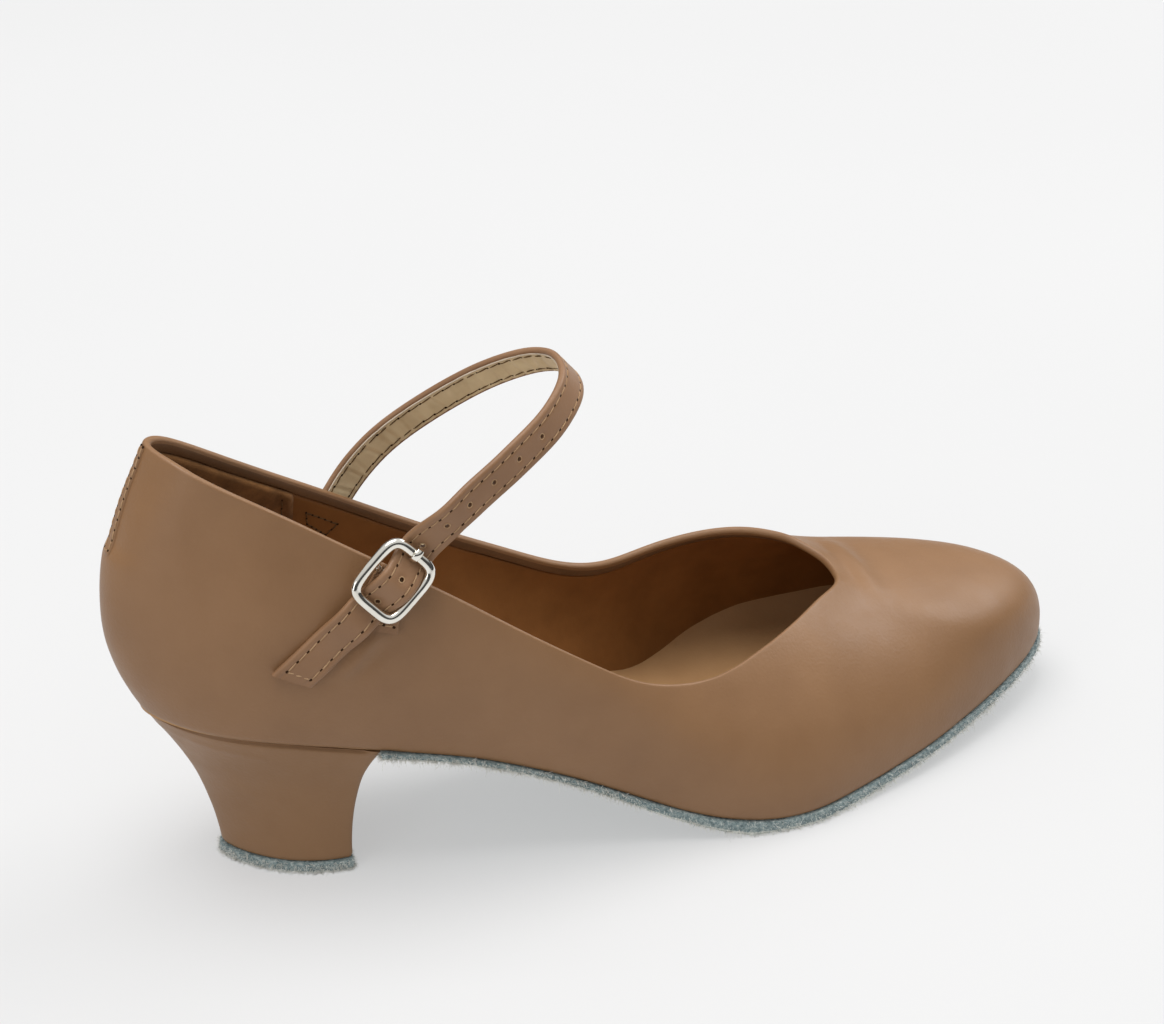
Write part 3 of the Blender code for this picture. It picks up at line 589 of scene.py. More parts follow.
def make_upper_skin(wall, finish):
    """Outer leather with its folded edge; the lining covers the rest of its inner face."""
    total = wall.total[:, None]
    share = np.linspace(0.0, 1.0, 70)[None, :]
    low = total * share * (1 - 2.4 / total)
    near_top = total - np.array([[1.8, 1.2, 0.7, 0.3, 0.0]])
    runs = np.hstack([low, near_top])
    points, normals = wall_at(wall, runs)
    at_heel = smooth_step(58.0, 50.0, points[..., 0])
    tuck = -(0.35 + 0.45 * at_heel) * (1 - np.clip(runs / 1.2, 0, 1)) ** 2
    relief = outer_relief(points) * smooth_step(0.0, TOP_FADE, total - runs)
    outer = points + (relief + tuck)[..., None] * normals
    outer[:, 0, 2] = sole_top(outer[:, 0, 0]) + GAP

    top, facing = outer[:, -1], normals[:, -1]
    rise = unit(outer[:, -1] - outer[:, -4])
    radius = WALL / 2
    centre = top - radius * facing
    turn = np.linspace(0, np.pi, 11)[1:-1]
    sway = 1 + 0.18 * waves(top, 30.0, 5, 2)
    rim = (centre[:, None] + radius * np.cos(turn)[None, :, None] * facing[:, None]
           + (0.72 * radius * sway)[:, None, None] * np.sin(turn)[None, :, None] * rise[:, None])

    drops = np.array([0.0, 0.5, 1.0, 1.5, 2.0, 2.4, 2.7, 2.85, 2.9])
    edge = EDGE_BAND + 0.25 * waves(top, 14.0, 7, 2)
    runs = total - drops[None, :] / drops[-1] * edge[:, None]
    depth = WALL + BAND_SWELL * np.sin(np.pi * drops / drops[-1] * 0.8)
    depth[-2:] = WALL - 0.15, WALL - 0.5
    band = under_wall(wall, runs, depth[None, :, None])

    runs = (total - edge[:, None]) * np.linspace(0.995, 0.0, 9)[None, :]
    hidden = under_wall(wall, runs, SKIN_DEPTH)
    hidden[:, -1, 2] = sole_top(hidden[:, -1, 0]) + GAP
    sections = np.concatenate([outer, rim, band, hidden], axis=1)
    count, size = sections.shape[:2]
    # the folded edge from its first step down takes the darker leather: painted shade where it lies in shade
    tints = np.zeros(size, int)
    band_first = outer.shape[1] + rim.shape[1]
    tints[band_first + BAND_START:band_first + band.shape[1]] = 1
    make_object("upper_skin", "upper", sections.reshape(-1, 3), skin_faces(count, size, close_rings=True),
                [finish["upper_leather"], finish["band_painted_shade"]], tints=np.tile(tints, count))


def lining_depth(points):
    """Depth of the lining's face below the outer face."""
    return WALL + 0.03 - 0.10 * waves(points, 17.0, 11, 3)


def make_lining(wall, finish):
    """Golden lining leather, from just under the folded edge to the insole."""
    total = wall.total[:, None]
    start = total - EDGE_BAND - 0.1
    share = np.concatenate([[0.0, 0.004], np.linspace(0.012, 1.0, 56)])
    runs = start * (1 - share[None, :])
    points, normals = wall_at(wall, runs)
    depth = lining_depth(points)
    depth[:, 0] = WALL - 0.45
    depth[:, 1] = WALL - 0.12
    face = points - depth[..., None] * normals
    back = under_wall(wall, start * np.linspace(0.0, 0.995, 9)[None, :], SKIN_DEPTH + 0.08)
    sections = np.concatenate([face, back], axis=1)
    count, size = sections.shape[:2]
    make_object("lining", "upper", sections.reshape(-1, 3), skin_faces(count, size, close_rings=True),
                [finish["lining"]])


def make_heel_pad(wall, finish, stitching):
    """Grip pad inside the back, with its front edges stitched down."""
    values, _ = read_ribs(FINE_RIBS)
    reach = int(np.argmax(values[:FINE_RIBS // 2, 0] > PAD_FRONT))
    other = FINE_RIBS - int(np.argmin(values[FINE_RIBS // 2:, 0] > PAD_FRONT)) - FINE_RIBS // 2
    ribs = np.arange(-other, reach + 1)
    part = Wall(*(np.take(field, ribs, axis=0, mode="wrap") for field in wall))
    top = part.total[:, None] - EDGE_BAND - 0.25
    share = np.concatenate([[0.0, 0.004, 0.012], np.linspace(0.025, 0.95, 44)])
    points, normals = wall_at(part, top * (1 - share[None, :]))
    ends = np.minimum(np.arange(len(ribs)), np.arange(len(ribs))[::-1])
    round_off = np.sqrt(1 - (1 - np.clip((ends + 0.4) / 2.0, 0, 1)) ** 2)
    round_off += 0.25 * np.exp(-((ends - 1.5) / 1.2) ** 2) - 0.25 * np.exp(-((ends - 3.5) / 0.9) ** 2)
    soft = np.ones(len(share))
    soft[:3] = 0.15, 0.6, 0.9
    extra = PAD_THICK * round_off[:, None] * soft[None, :]
    face = points - (lining_depth(points) + extra)[..., None] * normals
    points, normals = wall_at(part, top * (1 - np.linspace(0.95, 0.0, 8)[None, :]))
    back = points - (WALL - 0.35) * normals
    sections = np.concatenate([face, back], axis=1)
    count, size = sections.shape[:2]
    make_object("heel_grip_pad", "upper", sections.reshape(-1, 3), tube_faces(count, size), [finish["pad"]])
    for row in (3, count - 4):
        rail = face[row, 4:42]
        stitching.append((rail, -normals[row, :1].repeat(len(rail), 0), 2.4))


# Stitches
def stitches(name, node, rows, finish, thread="thread", hole=0.36):
    """Thread along rows of path points, normals and pitch, with a dark disc of painted shade in each stitch
    hole.
    """
    points, faces, tints = [], [], []
    t = np.linspace(0.0, 1.0, 8)
    arch = np.sin(np.pi * t) ** 0.5
    for path, normals, pitch in rows:
        run = run_along(path)
        number = max(1, int(round(run[-1] / pitch)))
        marks = np.linspace(0.0, run[-1], number + 1)

        def read(where):
            return read_rows(where, run, path), unit(read_rows(where, run, normals))

        for start, end in zip(marks[:-1], marks[1:]):
            places, facing = read(np.linspace(start + THREAD_GAP, end - THREAD_GAP, 8))
            side = np.cross(facing[0], unit(places[-1] - places[0]))
            slant = (THREAD_SLANT * (2 * t - 1))[:, None] * side
            centre = places + (THREAD_ARCH * arch - THREAD_SINK)[:, None] * facing + slant
            thread_faces = tube_faces(8, 6, len(points))
            for spot, out, size in zip(centre, facing, THREAD_RADIUS * (0.55 + 0.45 * arch)):
                points += list(spot + size * around(turns(6), side, 0.8 * out))
            faces += thread_faces
            tints += [0] * len(thread_faces)
        # a dark disc in each stitch hole: painted shade
        places, facing = read(marks)
        for spot, out, mark in zip(places, facing, marks):
            near, _ = read(np.array([max(mark - 0.2, 0.0), min(mark + 0.2, run[-1])]))
            ahead = unit(near[1] - near[0])
            side = np.cross(out, ahead)
            first = len(points)
            for ring, depth in ((hole, 0.03), (hole, -0.27), (hole * 0.45, 0.042)):
                points += list(spot + ring * around(turns(8), 1.15 * ahead, 0.85 * side) + depth * out)
            disc = []
            for i in range(8):
                j = (i + 1) % 8
                disc.append((first + i, first + j, first + 16 + j, first + 16 + i))
                disc.append((first + i, first + j, first + 8 + j, first + 8 + i))
            disc.append(tuple(range(first + 16, first + 24)))
            disc.append(tuple(range(first + 8, first + 16)))
            faces += disc
            tints += [1] * len(disc)
    make_object(name, node, points, faces, [finish[thread], finish["needle_hole_shade"]], tints=tints)


# Strap and buckle
def quarter_seat(tree, side, x, z):
    """Point of the upper's outer face at x and z on one side, with its outward normal."""
    point, normal, _, _ = tree.ray_cast(Vector((x, side * 200.0, z)), Vector((0.0, -side, 0.0)))
    normal = np.array(normal)
    return np.array(point), normal * np.sign(normal[1] * side)


def tree_of(grid):
    """Search tree over a grid whose first direction closes on itself."""
    count, size = grid.shape[:2]
    faces = []
    for a in range(count):
        b = (a + 1) % count
        faces += [(a * size + j, b * size + j, b * size + j + 1, a * size + j + 1) for j in range(size - 1)]
    return BVHTree.FromPolygons(grid.reshape(-1, 3).tolist(), faces)


def buckle_axes(tree):
    """Buckle's frame: origin on the quarter, and the directions along the strap, across it and outward."""
    origin, outward = quarter_seat(tree, -1, BUCKLE_X, BUCKLE_Z)
    tail, _ = quarter_seat(tree, -1, *TAIL_ROWS[0])
    along = tail - origin
    along = unit(along - outward * (along @ outward))
    return origin, along, np.cross(outward, along), outward


Line = namedtuple("Line", "centre along across normal place end")


def strap_line(tree, step):
    """Strap's centreline and its directions at every step, from the inner quarter to the tail."""
    loop_axis = unit(np.array(ROUTE_ACROSS))
    origin, along, across, outward = buckle_axes(tree)
    rows = []
    for seat in INNER_ROWS:
        point, normal = quarter_seat(tree, 1, *seat)
        rows.append((point + STRAP_SEAT * normal, loop_axis - normal * (loop_axis @ normal), normal))
    for row in FREE_ROWS:
        point = np.array(row)
        rows.append((point, loop_axis, point - ROUTE_MIDDLE))
    for place, aside, lift in WEAVE_ROWS:
        rows.append((origin + place * along + aside * across + lift * outward, across, outward))
    for seat in TAIL_ROWS:
        point, normal = quarter_seat(tree, -1, *seat)
        rows.append((point + STRAP_SEAT * normal, across - normal * (across @ normal), normal))
    table = np.array([np.concatenate(row) for row in rows])
    table[:, 3:6] = unit(table[:, 3:6])
    table[:, 6:9] = unit(table[:, 6:9])
    knots = run_along(table[:, :3])
    places = np.linspace(0.0, knots[-1], int(knots[-1] / step))
    line = curve_through(knots, table, places)
    centre = line[:, :3]
    along = unit(np.gradient(centre, axis=0))
    across = unit(line[:, 3:6] - along * np.sum(line[:, 3:6] * along, axis=1, keepdims=True))
    normal = np.cross(across, along)
    normal = normal * np.sign(np.sum(normal * line[:, 6:9], axis=1, keepdims=True))
    return Line(centre, along, across, normal, places, places[-1])


def line_part(line, chosen):
    """The chosen places of the strap's line."""
    return Line(*(field[chosen] for field in line[:5]), line.end)


def line_at(line, place):
    """Centre, along, across and normal of the strap's line at one place."""
    return [read_rows(place, line.place, field) for field in line[:4]]


def strap_face(u):
    """Height of the strap's outer face across its width: sunk stitch rows and rolled edges."""
    u = np.abs(u)
    half = STRAP_WIDTH / 2
    height = FACE_HEIGHT - 0.13 * np.exp(-((u - STITCH_ROW) / 0.32) ** 2)
    over = np.clip((u - (half - 0.8)) / 0.8, 0.0, 1.0)
    return height - FACE_HEIGHT * (1 - np.sqrt(1 - over ** 2))


def strap_points(line, u, h):
    """Points at places u across and heights h, with the tail's slant."""
    slide = -TAIL_SKEW * u * smooth_step(line.end - SLANT_LENGTH, line.end, line.place)[:, None]
    return (line.centre[:, None] + u[..., None] * line.across[:, None] + h[..., None] * line.normal[:, None]
            + slide[..., None] * line.along[:, None])


def swept_strip(name, line, u, h, material):
    """Closed strip along the strap's line from section places u across and h outward."""
    points = strap_points(line, u, h)
    count, size = points.shape[:2]
    return make_object(name, "strap", points.reshape(-1, 3), tube_faces(count, size), [material])


def punch(item, line):
    """Cut the strap's punched holes through a piece."""
    points, faces = [], []
    for place in HOLE_PLACES:
        centre, along, across, normal = line_at(line, place)
        faces += tube_faces(2, 20, len(points))
        for lift in (-2.0, 2.0):
            points += list(centre + lift * normal + HOLE_RADIUS * around(turns(20), across, along))
    cutter = link("punch", mesh_of("punch", points, faces))
    cut = item.modifiers.new("holes", "BOOLEAN")
    cut.operation = "DIFFERENCE"
    cut.solver = "EXACT"
    cut.object = cutter
    graph = bpy.context.evaluated_depsgraph_get()
    done = bpy.data.meshes.new_from_object(item.evaluated_get(graph))
    item.modifiers.clear()
    item.data = done
    bpy.data.objects.remove(cutter, do_unlink=True)


def make_strap(line, finish):
    """Strap's tan leather turned round its edges, its beige lining, and the pale edge between them."""
    half = STRAP_WIDTH / 2
    count = len(line.place)
    wide = 45
    top = half * np.sin(np.linspace(np.pi / 2, -np.pi / 2, wide)) * 0.5 + np.linspace(half, -half, wide) * 0.5
    under = np.array([-4.12, -3.9, -3.6, -3.38, -3.32, 0.0, 3.5, 3.56, 3.75, 3.98, 4.14])
    under_h = np.array([-0.42, -0.70, -0.80, -0.74, -0.45, -0.45, -0.45, -0.72, -0.78, -0.64, -0.36])
    u = np.tile(np.concatenate([top, under]), (count, 1))
    h = np.tile(np.concatenate([strap_face(top), under_h]), (count, 1))
    for place in HOLE_PLACES:
        away = np.hypot(u[:, :wide], (line.place - place)[:, None])
        h[:, :wide] -= 0.20 * np.exp(-(away / HOLE_DENT) ** 4)
    h[:, :wide] += 0.03 * waves(strap_points(line, u, h)[:, :wide], 9.0, 21, 3)
    skin = swept_strip("strap_skin", line, u, h, finish["strap_leather"])

    draw = np.random.default_rng(31)
    wide = 21
    side = np.concatenate([np.linspace(-3.28, 3.44, wide), [3.47, 3.4, 0.0, -3.2, -3.31]])
    deep = np.concatenate([np.full(wide, -0.82), [-0.6, -0.42, -0.42, -0.42, -0.6]])
    u = np.tile(side, (count, 1))
    h = np.tile(deep, (count, 1))
    place, last_place = WRINKLES
    while place < last_place:
        lean = draw.uniform(-0.25, 0.25)
        width = draw.uniform(0.35, 0.75)
        size = draw.uniform(0.05, 0.17) * (1.0 if place < WRINKLE_FADE else 0.4)
        off = (line.place[:, None] - place - lean * u[:, :wide]) / width
        h[:, :wide] += size * np.exp(-off ** 2) - 0.6 * size * np.exp(-((off - 1.8) / 1.2) ** 2)
        place += draw.uniform(2.0, 4.6)
    h[:, :wide] -= 0.05 * np.cos(u[:, :wide] / 3.4 * np.pi / 2)
    lining = swept_strip("strap_lining", line, u, h, finish["strap_lining"])

    angle = turns(6)
    wobble = 0.08 * waves(line.centre, 5.0, 41, 2)
    u = -3.38 + wobble[:, None] + 0.20 * np.cos(angle)[None, :]
    h = -0.80 + 0.20 * np.sin(angle)[None, :] + 0.5 * wobble[:, None]
    swept_strip("strap_pale_edge", line, u, h, finish["cream"])
    for item in (skin, lining):
        punch(item, line)
    points, faces = [], []
    for place in HOLE_PLACES:
        centre, along, across, normal = line_at(line, place)
        faces += skin_faces(18, 6, close_rings=True, first=len(points))
        for way in around(turns(18), across, along):
            middle = centre + (HOLE_RADIUS + 0.09) * way + 0.60 * normal
            points += list(middle + around(angle, 0.13 * way, 0.09 * normal))
    make_object("strap_hole_rims", "strap", points, faces, [finish["thread"]])


def make_strap_stitches(line, finish):
    """Running stitches along both faces, across the tail and in a box where the strap joins the quarter."""
    outer_rows, inner_rows = [], []
    part = line_part(line, (line.place > SEW_START) & (line.place < line.end - SEW_END))
    for side in (-1, 1):
        u = np.full((len(part.place), 1), side * STITCH_ROW)
        for rows, lift in ((outer_rows, 0.66), (inner_rows, -0.83)):
            path = strap_points(part, u, np.full_like(u, lift))[:, 0]
            rows.append((path, part.normal * np.sign(lift), STITCH_PITCH))
    u = np.linspace(-STITCH_ROW, STITCH_ROW, 9)[None, :]
    for place in (SEW_START, SEW_BOX, line.end - SEW_END):
        k = int(np.argmin(np.abs(line.place - place)))
        path = strap_points(line_part(line, slice(k, k + 1)), u, np.full_like(u, 0.70))[0]
        outer_rows.append((path, np.tile(line.normal[k], (9, 1)), CROSS_PITCH))
    stitches("strap_stitches", "strap", outer_rows, finish)
    stitches("strap_lining_stitches", "strap", inner_rows, finish, thread="thread_dark", hole=0.3)


def even_loop(loop, count):
    """Closed loop in plan, read at even steps along its length."""
    closed = np.vstack([loop, loop[:1]])
    lengths = run_along(closed)
    return read_rows(np.linspace(0.0, lengths[-1], count + 1)[:-1], lengths, closed)


def frame_path():
    """Rounded outline through the middle of the buckle's wire, its sides bowed a little outward."""
    half = np.array([BUCKLE_LENGTH / 2, BUCKLE_WIDTH / 2]) - BUCKLE_WIRE - RING_INSET
    angles = np.linspace(0.0, 2 * np.pi, 2401)[:-1]
    turn = np.column_stack([np.cos(angles), np.sin(angles)])
    return even_loop(half * np.sign(turn) * np.abs(turn) ** (2 / RING_ROUND), PLAN_STEPS)


def make_buckle(axes, finish):
    """Polished frame with its centre bar, and the clip on the upper bar."""
    origin, along, across, outward = axes
    path = frame_path()
    travel = unit(np.roll(path, -1, axis=0) - np.roll(path, 1, axis=0))
    angles = turns(RING_SIDES)
    wide = np.sign(np.cos(angles)) * np.abs(np.cos(angles)) ** 0.80 * 1.12
    deep = np.sign(np.sin(angles)) * np.abs(np.sin(angles)) ** 0.85
    deep = np.where(deep > 0, 0.95 * deep, 0.85 * deep)
    points = []
    for (place, side), (run_long, run_wide) in zip(path, travel):
        centre = origin + place * along + side * across + FRAME_LIFT * outward
        sideways = run_wide * along - run_long * across
        points += list(centre + wide[:, None] * sideways + deep[:, None] * outward)
    faces = skin_faces(len(path), RING_SIDES, close_rings=True) + tube_faces(5, RING_SIDES, len(points))
    reach = BUCKLE_WIDTH / 2 - BUCKLE_WIRE
    for side in np.linspace(-reach, reach, 5):
        centre = origin + side * across + BAR_LIFT * outward
        points += list(centre + BAR_RADIUS * around(angles, along, outward))
    make_object("buckle_ring", "buckle_frame", points, faces, [finish["buckle"]])

    radius = BUCKLE_WIRE + 0.22 + CLIP_THICK / 2
    angles = np.radians(np.linspace(-8, 188, 29))
    normals = np.column_stack([np.cos(angles), 0.86 * np.sin(angles)])
    path = radius * normals + (-WEAVE_REACH, FRAME_LIFT)
    half = CLIP_HALF
    section = ((half, 0.12), (half - 0.14, 0.25), (0.14 - half, 0.25), (-half, 0.12),
               (-half, -0.12), (0.14 - half, -0.25), (half - 0.14, -0.25), (half, -0.12))
    bent_strip("buckle_keeper", "buckle_clip", path, unit(normals), axes, section, finish["buckle"])


def bent_strip(name, node, path, normals, axes, section, material, shifts=0.0, thicks=1.0, skews=0.0):
    """Strip bent along a path of (along, outward) places, its sections shifted across and skewed."""
    origin, along, across, outward = axes
    shifts, thicks, skews = (np.broadcast_to(values, len(path)) for values in (shifts, thicks, skews))
    points = []
    for (place, lift), (lean, rise), shift, thick, skew in zip(path, normals, shifts, thicks, skews):
        normal = lean * along + rise * outward
        centre = origin + place * along + lift * outward + shift * across
        points += [centre + side * across + deep * thick * normal - skew * side * along
                   for side, deep in section]
    make_object(name, node, points, tube_faces(len(path), len(section)), [material])


def make_tab(axes, finish):
    """Leather tab that holds the buckle's bar, with its end stitched down."""
    radius = EYE_RADIUS - TAB_EYE / 2
    middle = PLATE_TOP - TAB_THICK / 2
    angles = np.radians(np.linspace(-90, -370, 36))
    eye_normals = -np.column_stack([np.cos(angles), np.sin(angles)])
    eye = np.array([0.0, BAR_LIFT]) - radius * eye_normals
    flat = np.column_stack([np.linspace(TAB_LENGTH, 3.2, 16), np.full(16, middle)])
    ramp_rows = np.array([[2.3, middle + 0.25], [1.5, (middle + eye[0, 1]) / 2]])
    path = np.vstack([flat, ramp_rows, eye])
    normals = unit(np.vstack([[[0.0, 1.0]] * 16, [[0.2, 1.0], [0.4, 1.0]], eye_normals]))
    thicks = np.concatenate([np.full(16, TAB_THICK), [0.85, 0.75], np.full(36, TAB_EYE)])
    turn = np.tan(np.radians(TAB_TURN))
    shifts = TAB_SHIFT + turn * np.maximum(path[:, 0] - EYE_RADIUS, 0.0)
    half = TAB_WIDTH / 2
    section = ((half, 0.2), (half - 0.12, 0.4), (half - 0.4, 0.5), (0.4 - half, 0.5), (0.12 - half, 0.4),
               (-half, 0.2), (-half, -0.4), (0.2 - half, -0.5), (half - 0.2, -0.5), (half, -0.4))
    skew = turn * np.linspace(1.0, 0.0, len(path)) ** 2
    skew[16:] = 0.0
    bent_strip("buckle_loop", "buckle_tab", path, normals, axes, section, finish["strap_leather"], shifts,
               thicks, skew)
    origin, along, across, outward = axes
    place = TAB_LENGTH - 1.5
    sides = np.linspace(0.9 - half, half - 0.9, 9)[:, None]
    spots = (origin + (place - turn * sides * 0.8) * along
             + (TAB_SHIFT + turn * (place - EYE_RADIUS) + sides) * across + (PLATE_TOP + 0.02) * outward)
    stitches("tab_stitches", "buckle_tab", [(spots, np.tile(outward, (9, 1)), 2.3)], finish)


# Heel and soles
def heel_ring(level, outset=0.0):
    """D-shaped section of the heel in plan at a level, its front corners rounded."""
    back, front, half, full = curve_through(HEEL_LEVELS[:, 0], HEEL_LEVELS[:, 1:], [level])[0]
    back, front, half = back - outset, front + outset, half + outset
    u = np.sin(np.linspace(0.0, np.pi / 2, 91))
    x = front - (front - back) * u
    y = half * (1 - u ** full) ** HEEL_ROUND
    edge = np.column_stack([np.full(40, front), np.linspace(half, -half, 42)[1:-1]])
    sides = np.column_stack([x, -y]), np.column_stack([x, y])[:-1][::-1]
    ring = even_loop(np.vstack([*sides, edge]), PLAN_STEPS)
    for _ in range(8):
        ring = (np.roll(ring, 1, axis=0) + 2 * ring + np.roll(ring, -1, axis=0)) / 4
    return ring


def capped_rings(rings, low_height, high_height):
    """Skin over a stack of rings, closed below and above by shrinking rings that follow a height."""
    size = len(rings[0])
    stack = list(rings)
    for position, height_of in ((0, low_height), (-1, high_height)):
        base = rings[position]
        middle = base[:, :2].mean(axis=0)
        extra = []
        for share in (0.85, 0.6, 0.35, 0.12):
            plan = middle + (base[:, :2] - middle) * share
            extra.append(np.column_stack([plan, height_of(plan[:, 0])]))
        stack = extra[::-1] + stack if position == 0 else stack + extra
    return np.vstack(stack), tube_faces(len(stack), size)


def make_heel(finish):
    """Covered heel with its leather drawn over the block."""
    floor = LIFT_THICK + GAP
    rings = []
    for level in np.concatenate([np.linspace(0.0, 0.97, 56), [0.98, 0.988, 0.994, 1.0]]):
        ring = heel_ring(level)
        out = outward_of(ring)
        seat = sole_top(ring[:, 0])
        height = floor + level * (seat - floor)
        spots = np.column_stack([ring, height])
        tuck = -0.85 * smooth_step(0.9, 0.0, seat - height) * smooth_step(49.0, 45.5, ring[:, 0])
        tuck -= 0.3 * smooth_step(0.7, 0.0, height - floor)
        relief = 0.05 * waves(spots, 12.0, 51, 3) + tuck
        folds = 0.10 * np.exp(-((seat - height - 3.0 - 0.08 * ring[:, 0]) / 0.8) ** 2) * (ring[:, 0] < 26)
        spots[:, :2] += (relief + folds)[:, None] * out
        rings.append(spots)
    points, faces = capped_rings(rings, lambda x: np.full(len(x), floor), sole_top)
    make_object("heel_cover", "heel", points, faces, [finish["heel_leather"]])


def outward_of(loop):
    """Outward directions of a closed loop in plan."""
    ahead = np.roll(loop, -1, axis=0) - np.roll(loop, 1, axis=0)
    out = unit(np.column_stack([ahead[:, 1], -ahead[:, 0]]))
    return out * np.sign(np.sum(out * (loop - loop.mean(axis=0))))


def make_heel_lift(finish):
    """Suede top piece, its edge a little ragged."""
    loop = heel_ring(0.0, LIFT_OUTSET)
    loop[:, 0] -= 0.4 * smooth_step(40.0, 45.0, loop[:, 0])
    out = outward_of(loop)
    rings = []
    for outset, height in ((-0.45, 0.0), (-0.15, 0.15), (0.0, 0.5), (0.05, 1.1), (0.0, 1.8), (-0.05, 2.3),
                           (-0.3, LIFT_THICK)):
        spots = np.column_stack([loop, np.full(len(loop), height)])
        ragged = 0.14 * waves(spots * (1, 1, 3), 3.0, 61 + int(10 * height), 3)
        spots[:, :2] += (outset + ragged)[:, None] * out
        rings.append(spots)
    points, faces = capped_rings(rings, lambda x: np.zeros(len(x)), lambda x: np.full(len(x), LIFT_THICK))
    tints = np.zeros(len(faces), int)
    tints[4 * len(loop):6 * len(loop)] = 1
    make_object("lift_suede", "heel_lift", points, faces, [finish["suede"], finish["suede_pale"]],
                tints=tints)
    return loop, out


def side_ys(outset, x):
    """Where the outset sole edge lies at x, on the outer and on the inner side."""
    return [np.interp(x, side[:, 0], side[:, 1]) for side in edge_sides(outset)]


def sole_loop():
    """Outsole's outline as mirrored pairs with the same x, outer side first."""
    tip = edge_sides(SOLE_OUTSET)[0][-1, 0] - 0.02
    x = SOLE_START + (tip - SOLE_START) * np.sin(np.pi / 2 * np.linspace(0.0, 1.0, 300))
    outer_y, inner_y = side_ys(SOLE_OUTSET, x)
    return np.vstack([np.column_stack([x, outer_y]), np.column_stack([x, inner_y])[::-1]])


def make_outsole(finish):
    """Suede outsole with a soft ragged edge."""
    loop = sole_loop()
    out = outward_of(loop)
    top, bottom = sole_top(loop[:, 0]), sole_bottom(loop[:, 0])
    rings = []
    for outset, share, inset in (
            (-6.0, 0.0, True), (-0.5, 0.0, True), (-0.2, 0.06, False), (0.0, 0.28, False),
            (0.08, 0.50, False), (0.05, 0.7, False), (-0.05, 0.9, False), (-0.25, 1.0, False),
            (-6.0, 1.0, True)):
        spots = np.column_stack([loop, bottom + share * (top - bottom)])
        ragged = 0.0 if inset else 0.20 * waves(spots * (1, 1, 3), 2.4, 71, 3)
        spots[:, :2] += np.reshape(outset + ragged, (-1, 1)) * out
        if inset:
            spots[:, 2] = (sole_top if share else sole_bottom)(spots[:, 0])
        rings.append(spots)
    size = len(loop)
    faces = skin_faces(len(rings), size)
    faces += strip_cap(0, size)
    faces += strip_cap((len(rings) - 1) * size, size)
    tints = np.zeros(len(faces), int)
    tints[size:3 * size] = 1
    make_object("outsole_suede", "outsole", np.vstack(rings), faces, [finish["suede"], finish["suede_pale"]],
                tints=tints)
    return loop, out


def make_fibres(name, node, roots, heading, lengths, widths, material, seed):
    """Short bent hairs on a suede edge, none of them under the floor."""
    draw = np.random.default_rng(seed)
    corners = turns(3)
    points, faces = [], []
    for root, way, length, width in zip(roots, heading, lengths, widths):
        bend = unit(draw.normal(size=3)) * 0.7
        way = unit(way + draw.normal(size=3) * 0.35)
        side = unit(np.cross(way, bend))
        other = np.cross(way, side)
        faces += tube_faces(4, 3, len(points))
        for step in range(4):
            t = step / 3
            centre = root + length * (t * way + t * t * 0.5 * bend)
            spots = centre + width * (1 - 0.75 * t) * around(corners, side, other)
            spots[:, 2] = np.maximum(spots[:, 2], 0.02)
            points += list(spots)
    make_object(name, node, points, faces, [material], smooth_angle=180)


def scatter_edge(loop, out, bottom, top, count, seed, low_bias):
    """Random places on an edge with their outward headings."""
    draw = np.random.default_rng(seed)
    steps = np.hypot(*(np.roll(loop, -1, axis=0) - loop).T)
    chance = steps * (1 + 1.5 * (loop[:, 0] < 108))
    chance /= chance.sum()
    pick = draw.choice(len(loop), size=count, p=chance)
    mix = draw.random(count)[:, None]
    plan = loop[pick] * (1 - mix) + loop[(pick + 1) % len(loop)] * mix
    share = draw.random(count) ** low_bias
    height = bottom[pick] + share * (top[pick] - bottom[pick])
    roots = np.column_stack([plan - 0.15 * out[pick], height])
    heading = np.column_stack([out[pick] * 0.7, draw.uniform(-0.7, 0.15, count) * (1.2 - share)])
    return draw, roots, heading


def make_fuzz(sole, lift, finish):
    """Loose fibres along the outsole's and the heel lift's edges, with a few longer ones on the outsole."""
    x = sole[0][:, 0]
    sole_heights = sole_bottom(x) + 0.05, sole_top(x) - 0.15
    lift_heights = np.full(len(lift[0]), 0.1), np.full(len(lift[0]), LIFT_THICK - 0.2)
    for edge, shade, count, low_bias, long, seed in (("sole", "pale", 7500, 3.0, 1.45, 81),
                                                     ("sole", "blue", 4000, 1.0, 0.65, 82),
                                                     ("lift", "pale", 3200, 2.2, 1.3, 91),
                                                     ("lift", "blue", 1300, 1.0, 0.6, 92)):
        on_sole = edge == "sole"
        loop, out = sole if on_sole else lift
        bottom, top = sole_heights if on_sole else lift_heights
        draw, roots, heading = scatter_edge(loop, out, bottom, top, count, seed, low_bias)
        lengths = long * draw.uniform(0.35, 1.0, count)
        if on_sole:
            lengths[draw.random(count) > STRAY_FROM] *= STRAY_STRETCH
        widths = draw.uniform(0.04, 0.10, count)
        make_fibres(edge + "_fuzz_" + shade, "outsole" if on_sole else "heel_lift", roots, heading, lengths,
                    widths, finish["fibre_" + shade], seed)


def sock_floor(x):
    """Height of the insole's upper face at x, before its edge curves up."""
    return sole_top(x) + GAP + INSOLE_THICK


